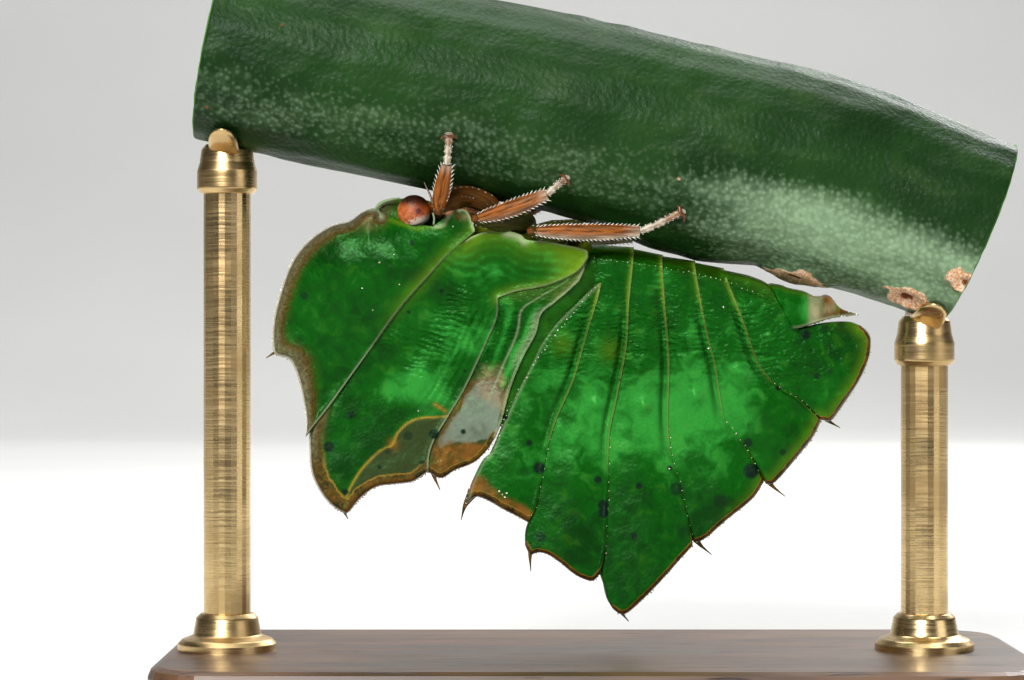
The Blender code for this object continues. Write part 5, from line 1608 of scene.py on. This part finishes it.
def stem_spot(x, height):
    """Length along the bark and angle round it of a place this high above the stem's lower edge."""
    line = along(STEM_LINE, np.linspace(0, 1, 400))
    length = np.interp(x, line[:, 0], np.linspace(0, line_length(line), 400))
    return length, math.acos(1 - height / STEM_RADIUS)


def stem_relief(length, angle):
    """How far the bark stands out from a plain round stem, and where it is scarred."""
    across, down = length + 1.3 * np.cos(angle), STEM_RADIUS * np.sin(angle)
    relief = 0.05 * noise(across, down, 1.7, 71) + 0.02 * noise(across, down, 0.5, 72)
    relief = relief + 0.012 * np.cos(19 * angle + 1.5 * noise(across, down, 3.0, 73))
    x = along(STEM_LINE, length / line_length(STEM_LINE))[..., 0]
    relief = relief + np.interp(x, *np.array(SWELLING).T) * np.exp(-(angle / 0.9) ** 2)
    scar = np.zeros(relief.shape)
    for x, height, wide, high in SCARS:
        place, turn = stem_spot(x, height)
        turned = STEM_RADIUS * ((angle + turn + math.pi) % (2 * math.pi) - math.pi)
        ragged = 1 + 0.25 * noise(across, down, 0.2, 74)
        away = np.hypot((length - place) / wide, turned / high) * ragged
        relief = relief + 0.09 * ridge(away, 0.85, 0.3) - 0.05 * ridge(away, 0, 0.4)
        cork = 0.7 * smooth_step(-away, -1.25, -0.85) + 0.3 * smooth_step(-away, -0.45, -0.25)
        scar = np.maximum(scar, cork)
    place, turn = stem_spot(*BUD)
    away = np.hypot(length - place, STEM_RADIUS * (angle + turn))
    relief = relief + 0.12 * ridge(away, 0, 0.13) + 0.05 * ridge(away, 0.24, 0.06)
    return relief, np.maximum(scar, 0.45 * ridge(away, 0.0, 0.09))


def stem_bloom_and_sheen(x, angle):
    """How pale the bark is painted: a band above the lower edge that is a painted sheen, over a darker
    underside that is painted shade, and wider to the right where it is partly wax bloom.
    """
    height = STEM_RADIUS * (1 - np.cos(angle))[None]
    bloom_and_sheen = 0.02 + 0.3 * smooth_step(height, 0.22, 0.6) * (1 - smooth_step(height, 1.2, 2.2))
    right = smooth_step(x, 1.0, 4.5) * (1 - 0.35 * smooth_step(x, 7.0, 9.5))
    return bloom_and_sheen + 0.6 * right * (1 - smooth_step(height, 1.2, 2.3))


def make_stem(material):
    """The cut length of stem: bark, and at each end a sawn face with rings and pith."""
    ends = np.zeros(len(STEM_FACE))
    share = np.concatenate([ends, np.linspace(0.002, 0.998, STEM_RINGS), ends + 1])
    size = np.concatenate([STEM_FACE, np.ones(STEM_RINGS), STEM_FACE[::-1]])[:, None]
    angle = np.linspace(-math.pi, math.pi, STEM_SIDES, endpoint=False)
    under, up = stem_frame(share)
    relief, scar = stem_relief(share[:, None] * line_length(STEM_LINE), angle[None])
    cut = (size < 1).astype(float)
    rough = noise(8 * np.cos(angle) * size, 8 * np.sin(angle) * size, 0.7, 75)
    dome = 0.05 * cut * (1 - size ** 2) + 0.012 * cut * rough
    outward = np.where(share < 0.5, -1, 1)[:, None] * dome
    reach = (STEM_RADIUS + relief * (1 - cut)) * size
    run = np.stack([up[:, 1], -up[:, 0]], axis=1)
    centre = under + up * STEM_RADIUS
    rise = -reach * np.cos(angle)[None]
    x = centre[:, :1] + up[:, :1] * rise + run[:, :1] * outward
    z = centre[:, 1:] + up[:, 1:] * rise + run[:, 1:] * outward
    rings = np.stack([x, reach * np.sin(angle)[None], z], axis=-1)
    points = np.vstack([rings.reshape(-1, 3), rings[0].mean(0), rings[-1].mean(0)])
    marks = {"scar": scar * (1 - cut), "cut": cut + 0 * scar, "core": size + 0 * scar,
             "bloom_and_sheen": stem_bloom_and_sheen(under[:, :1], angle)}
    values = {name: np.concatenate([value.ravel(), [value[0, 0], value[-1, 0]]])
              for name, value in marks.items()}
    stem = body("stem_bark", points, tube_faces(len(share), STEM_SIDES), values, material)
    stem.data.set_sharp_from_angle(angle=math.radians(60))
    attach(stem, "root")
    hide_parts("perch_stem")


def cradle(x):
    """Points and faces of a saddle that follows the stem's underside above a rod."""
    length, _ = stem_spot(x, 0)
    share = np.array([length / line_length(STEM_LINE)])
    under, up = (value[0] for value in stem_frame(share))
    run = np.array([up[1], -up[0]])
    centre = under + up * STEM_RADIUS
    corner = turns(32)
    thick = 0.11 * np.sign(np.cos(corner)) * np.abs(np.cos(corner)) ** 0.7
    wide = 0.36 * np.sign(np.sin(corner)) * np.abs(np.sin(corner)) ** 0.6
    rings = []
    for turn in CRADLE_ARC * np.sin(np.linspace(-math.pi / 2, math.pi / 2, 48)[1:-1]):
        end = (1 - (turn / CRADLE_ARC) ** 6) ** 0.5
        reach = STEM_RADIUS + 0.16 + thick * end
        spot = centre - up * (reach * math.cos(turn))[:, None] + run * (wide * end)[:, None]
        rings.append(np.stack([spot[:, 0], reach * math.sin(turn), spot[:, 1]], axis=1))
    rings = np.array(rings)
    points = np.vstack([rings.reshape(-1, 3), rings[0].mean(0), rings[-1].mean(0)])
    return points, tube_faces(len(rings), len(corner))


def turned(x, profile):
    """Points and faces of a collar round the upright line at x, from its heights and radii."""
    heights, radii = np.array(profile).T
    steps = np.linspace(0, 1, 60)
    knots = np.linspace(0, 1, len(profile))
    path = np.stack([np.full(60, x), np.zeros(60), np.interp(steps, knots, heights)], axis=1)
    return tube(path, np.interp(steps, knots, radii), 64)


def make_stand(brass, wood):
    paint(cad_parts["stand_base"], wood)
    for label, x in ROD_PLACES.items():
        paint(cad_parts[f"stand_rod_{label}"], brass)
        rod_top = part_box(f"stand_rod_{label}")[1].z / MM
        under = np.interp(x, STEM_LINE[:, 0], STEM_LINE[:, 1])
        foot = [(BASE_TOP + rise, radius) for rise, radius in ROD_FOOT]
        neck = [(rod_top - 0.75, 0.4), (rod_top - 0.72, 0.62), (rod_top - 0.62, 0.70), (rod_top - 0.2, 0.70),
                (rod_top, 0.64), (under - 0.1, 0.6), (under + 0.02, 0.5)]
        for name, shape in (("foot", turned(x, foot)), ("neck", turned(x, neck)), ("cradle", cradle(x))):
            piece = body(f"stand_{name}_{label}", *shape, None, brass)
            piece.data.set_sharp_from_angle(angle=math.radians(35))
            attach(piece, "root")


def make_floor(material):
    """A pale floor that curves up behind into a backdrop."""
    profile = [(FLOOR_FRONT, 0.0), (FLOOR_REAR, 0.0)]
    profile += [(FLOOR_REAR + FLOOR_BEND * math.sin(angle), FLOOR_BEND - FLOOR_BEND * math.cos(angle))
                for angle in np.linspace(0, math.pi / 2, 16)[1:]]
    profile.append((FLOOR_REAR + FLOOR_BEND, FLOOR_TOP))
    points = [(x / MM, y / MM, z / MM) for x in (-FLOOR_SIDE, FLOOR_SIDE) for y, z in profile]
    floor = body("studio_floor", points, grid_faces(2, len(profile)).tolist(), None, material)


def make_camera():
    data = bpy.data.cameras.new("Camera")
    data.lens = LENS
    data.sensor_width = 36
    data.clip_start = 0.002
    data.clip_end = 5
    camera = bpy.data.objects.new("Camera", data)
    camera.location = (EYE_X * MM, -EYE_DISTANCE * MM, EYE_Z * MM)
    camera.rotation_euler = (math.radians(90), 0, 0)
    bpy.context.scene.collection.objects.link(camera)
    bpy.context.scene.camera = camera


def area_light(name, place, size, power):
    data = bpy.data.lights.new(name, "AREA")
    data.size = size
    data.energy = power
    light = bpy.data.objects.new(name, data)
    light.location = place
    aim = Vector(LIGHT_AIM) - light.location
    light.rotation_euler = aim.to_track_quat("-Z", "Y").to_euler()
    bpy.context.scene.collection.objects.link(light)


def make_lights():
    for light in LIGHTS:
        area_light(*light)
    world = bpy.data.worlds.new("Studio")
    bpy.context.scene.world = world
    world.use_nodes = True
    sky = world.node_tree.nodes["Background"]
    sky.inputs["Color"].default_value = SKY
    sky.inputs["Strength"].default_value = SKY_STRENGTH
    bpy.context.scene.view_settings.view_transform = "Standard"


def main():
    make_camera()
    make_lights()
    make_floor(floor_material())
    skin = make_skin(skin_material())
    leg = leg_material()
    make_eyes(eye_material())
    make_feelers(leg)
    make_beak(leg)
    make_legs(leg, horn_material("pale bristle", (0.72, 0.68, 0.58, 1), (0.85, 0.83, 0.76, 1), 0.3),
              horn_material("claw", (0.07, 0.026, 0.007, 1), (0.20, 0.075, 0.016, 1), 0.2))
    bpy.context.view_layer.update()
    make_beads(skin, horn_material("pale grain", (0.50, 0.44, 0.30, 1), (0.80, 0.77, 0.66, 1), 0.2))
    make_stem(stem_material())
    make_stand(brass_material(), wood_material())


main()
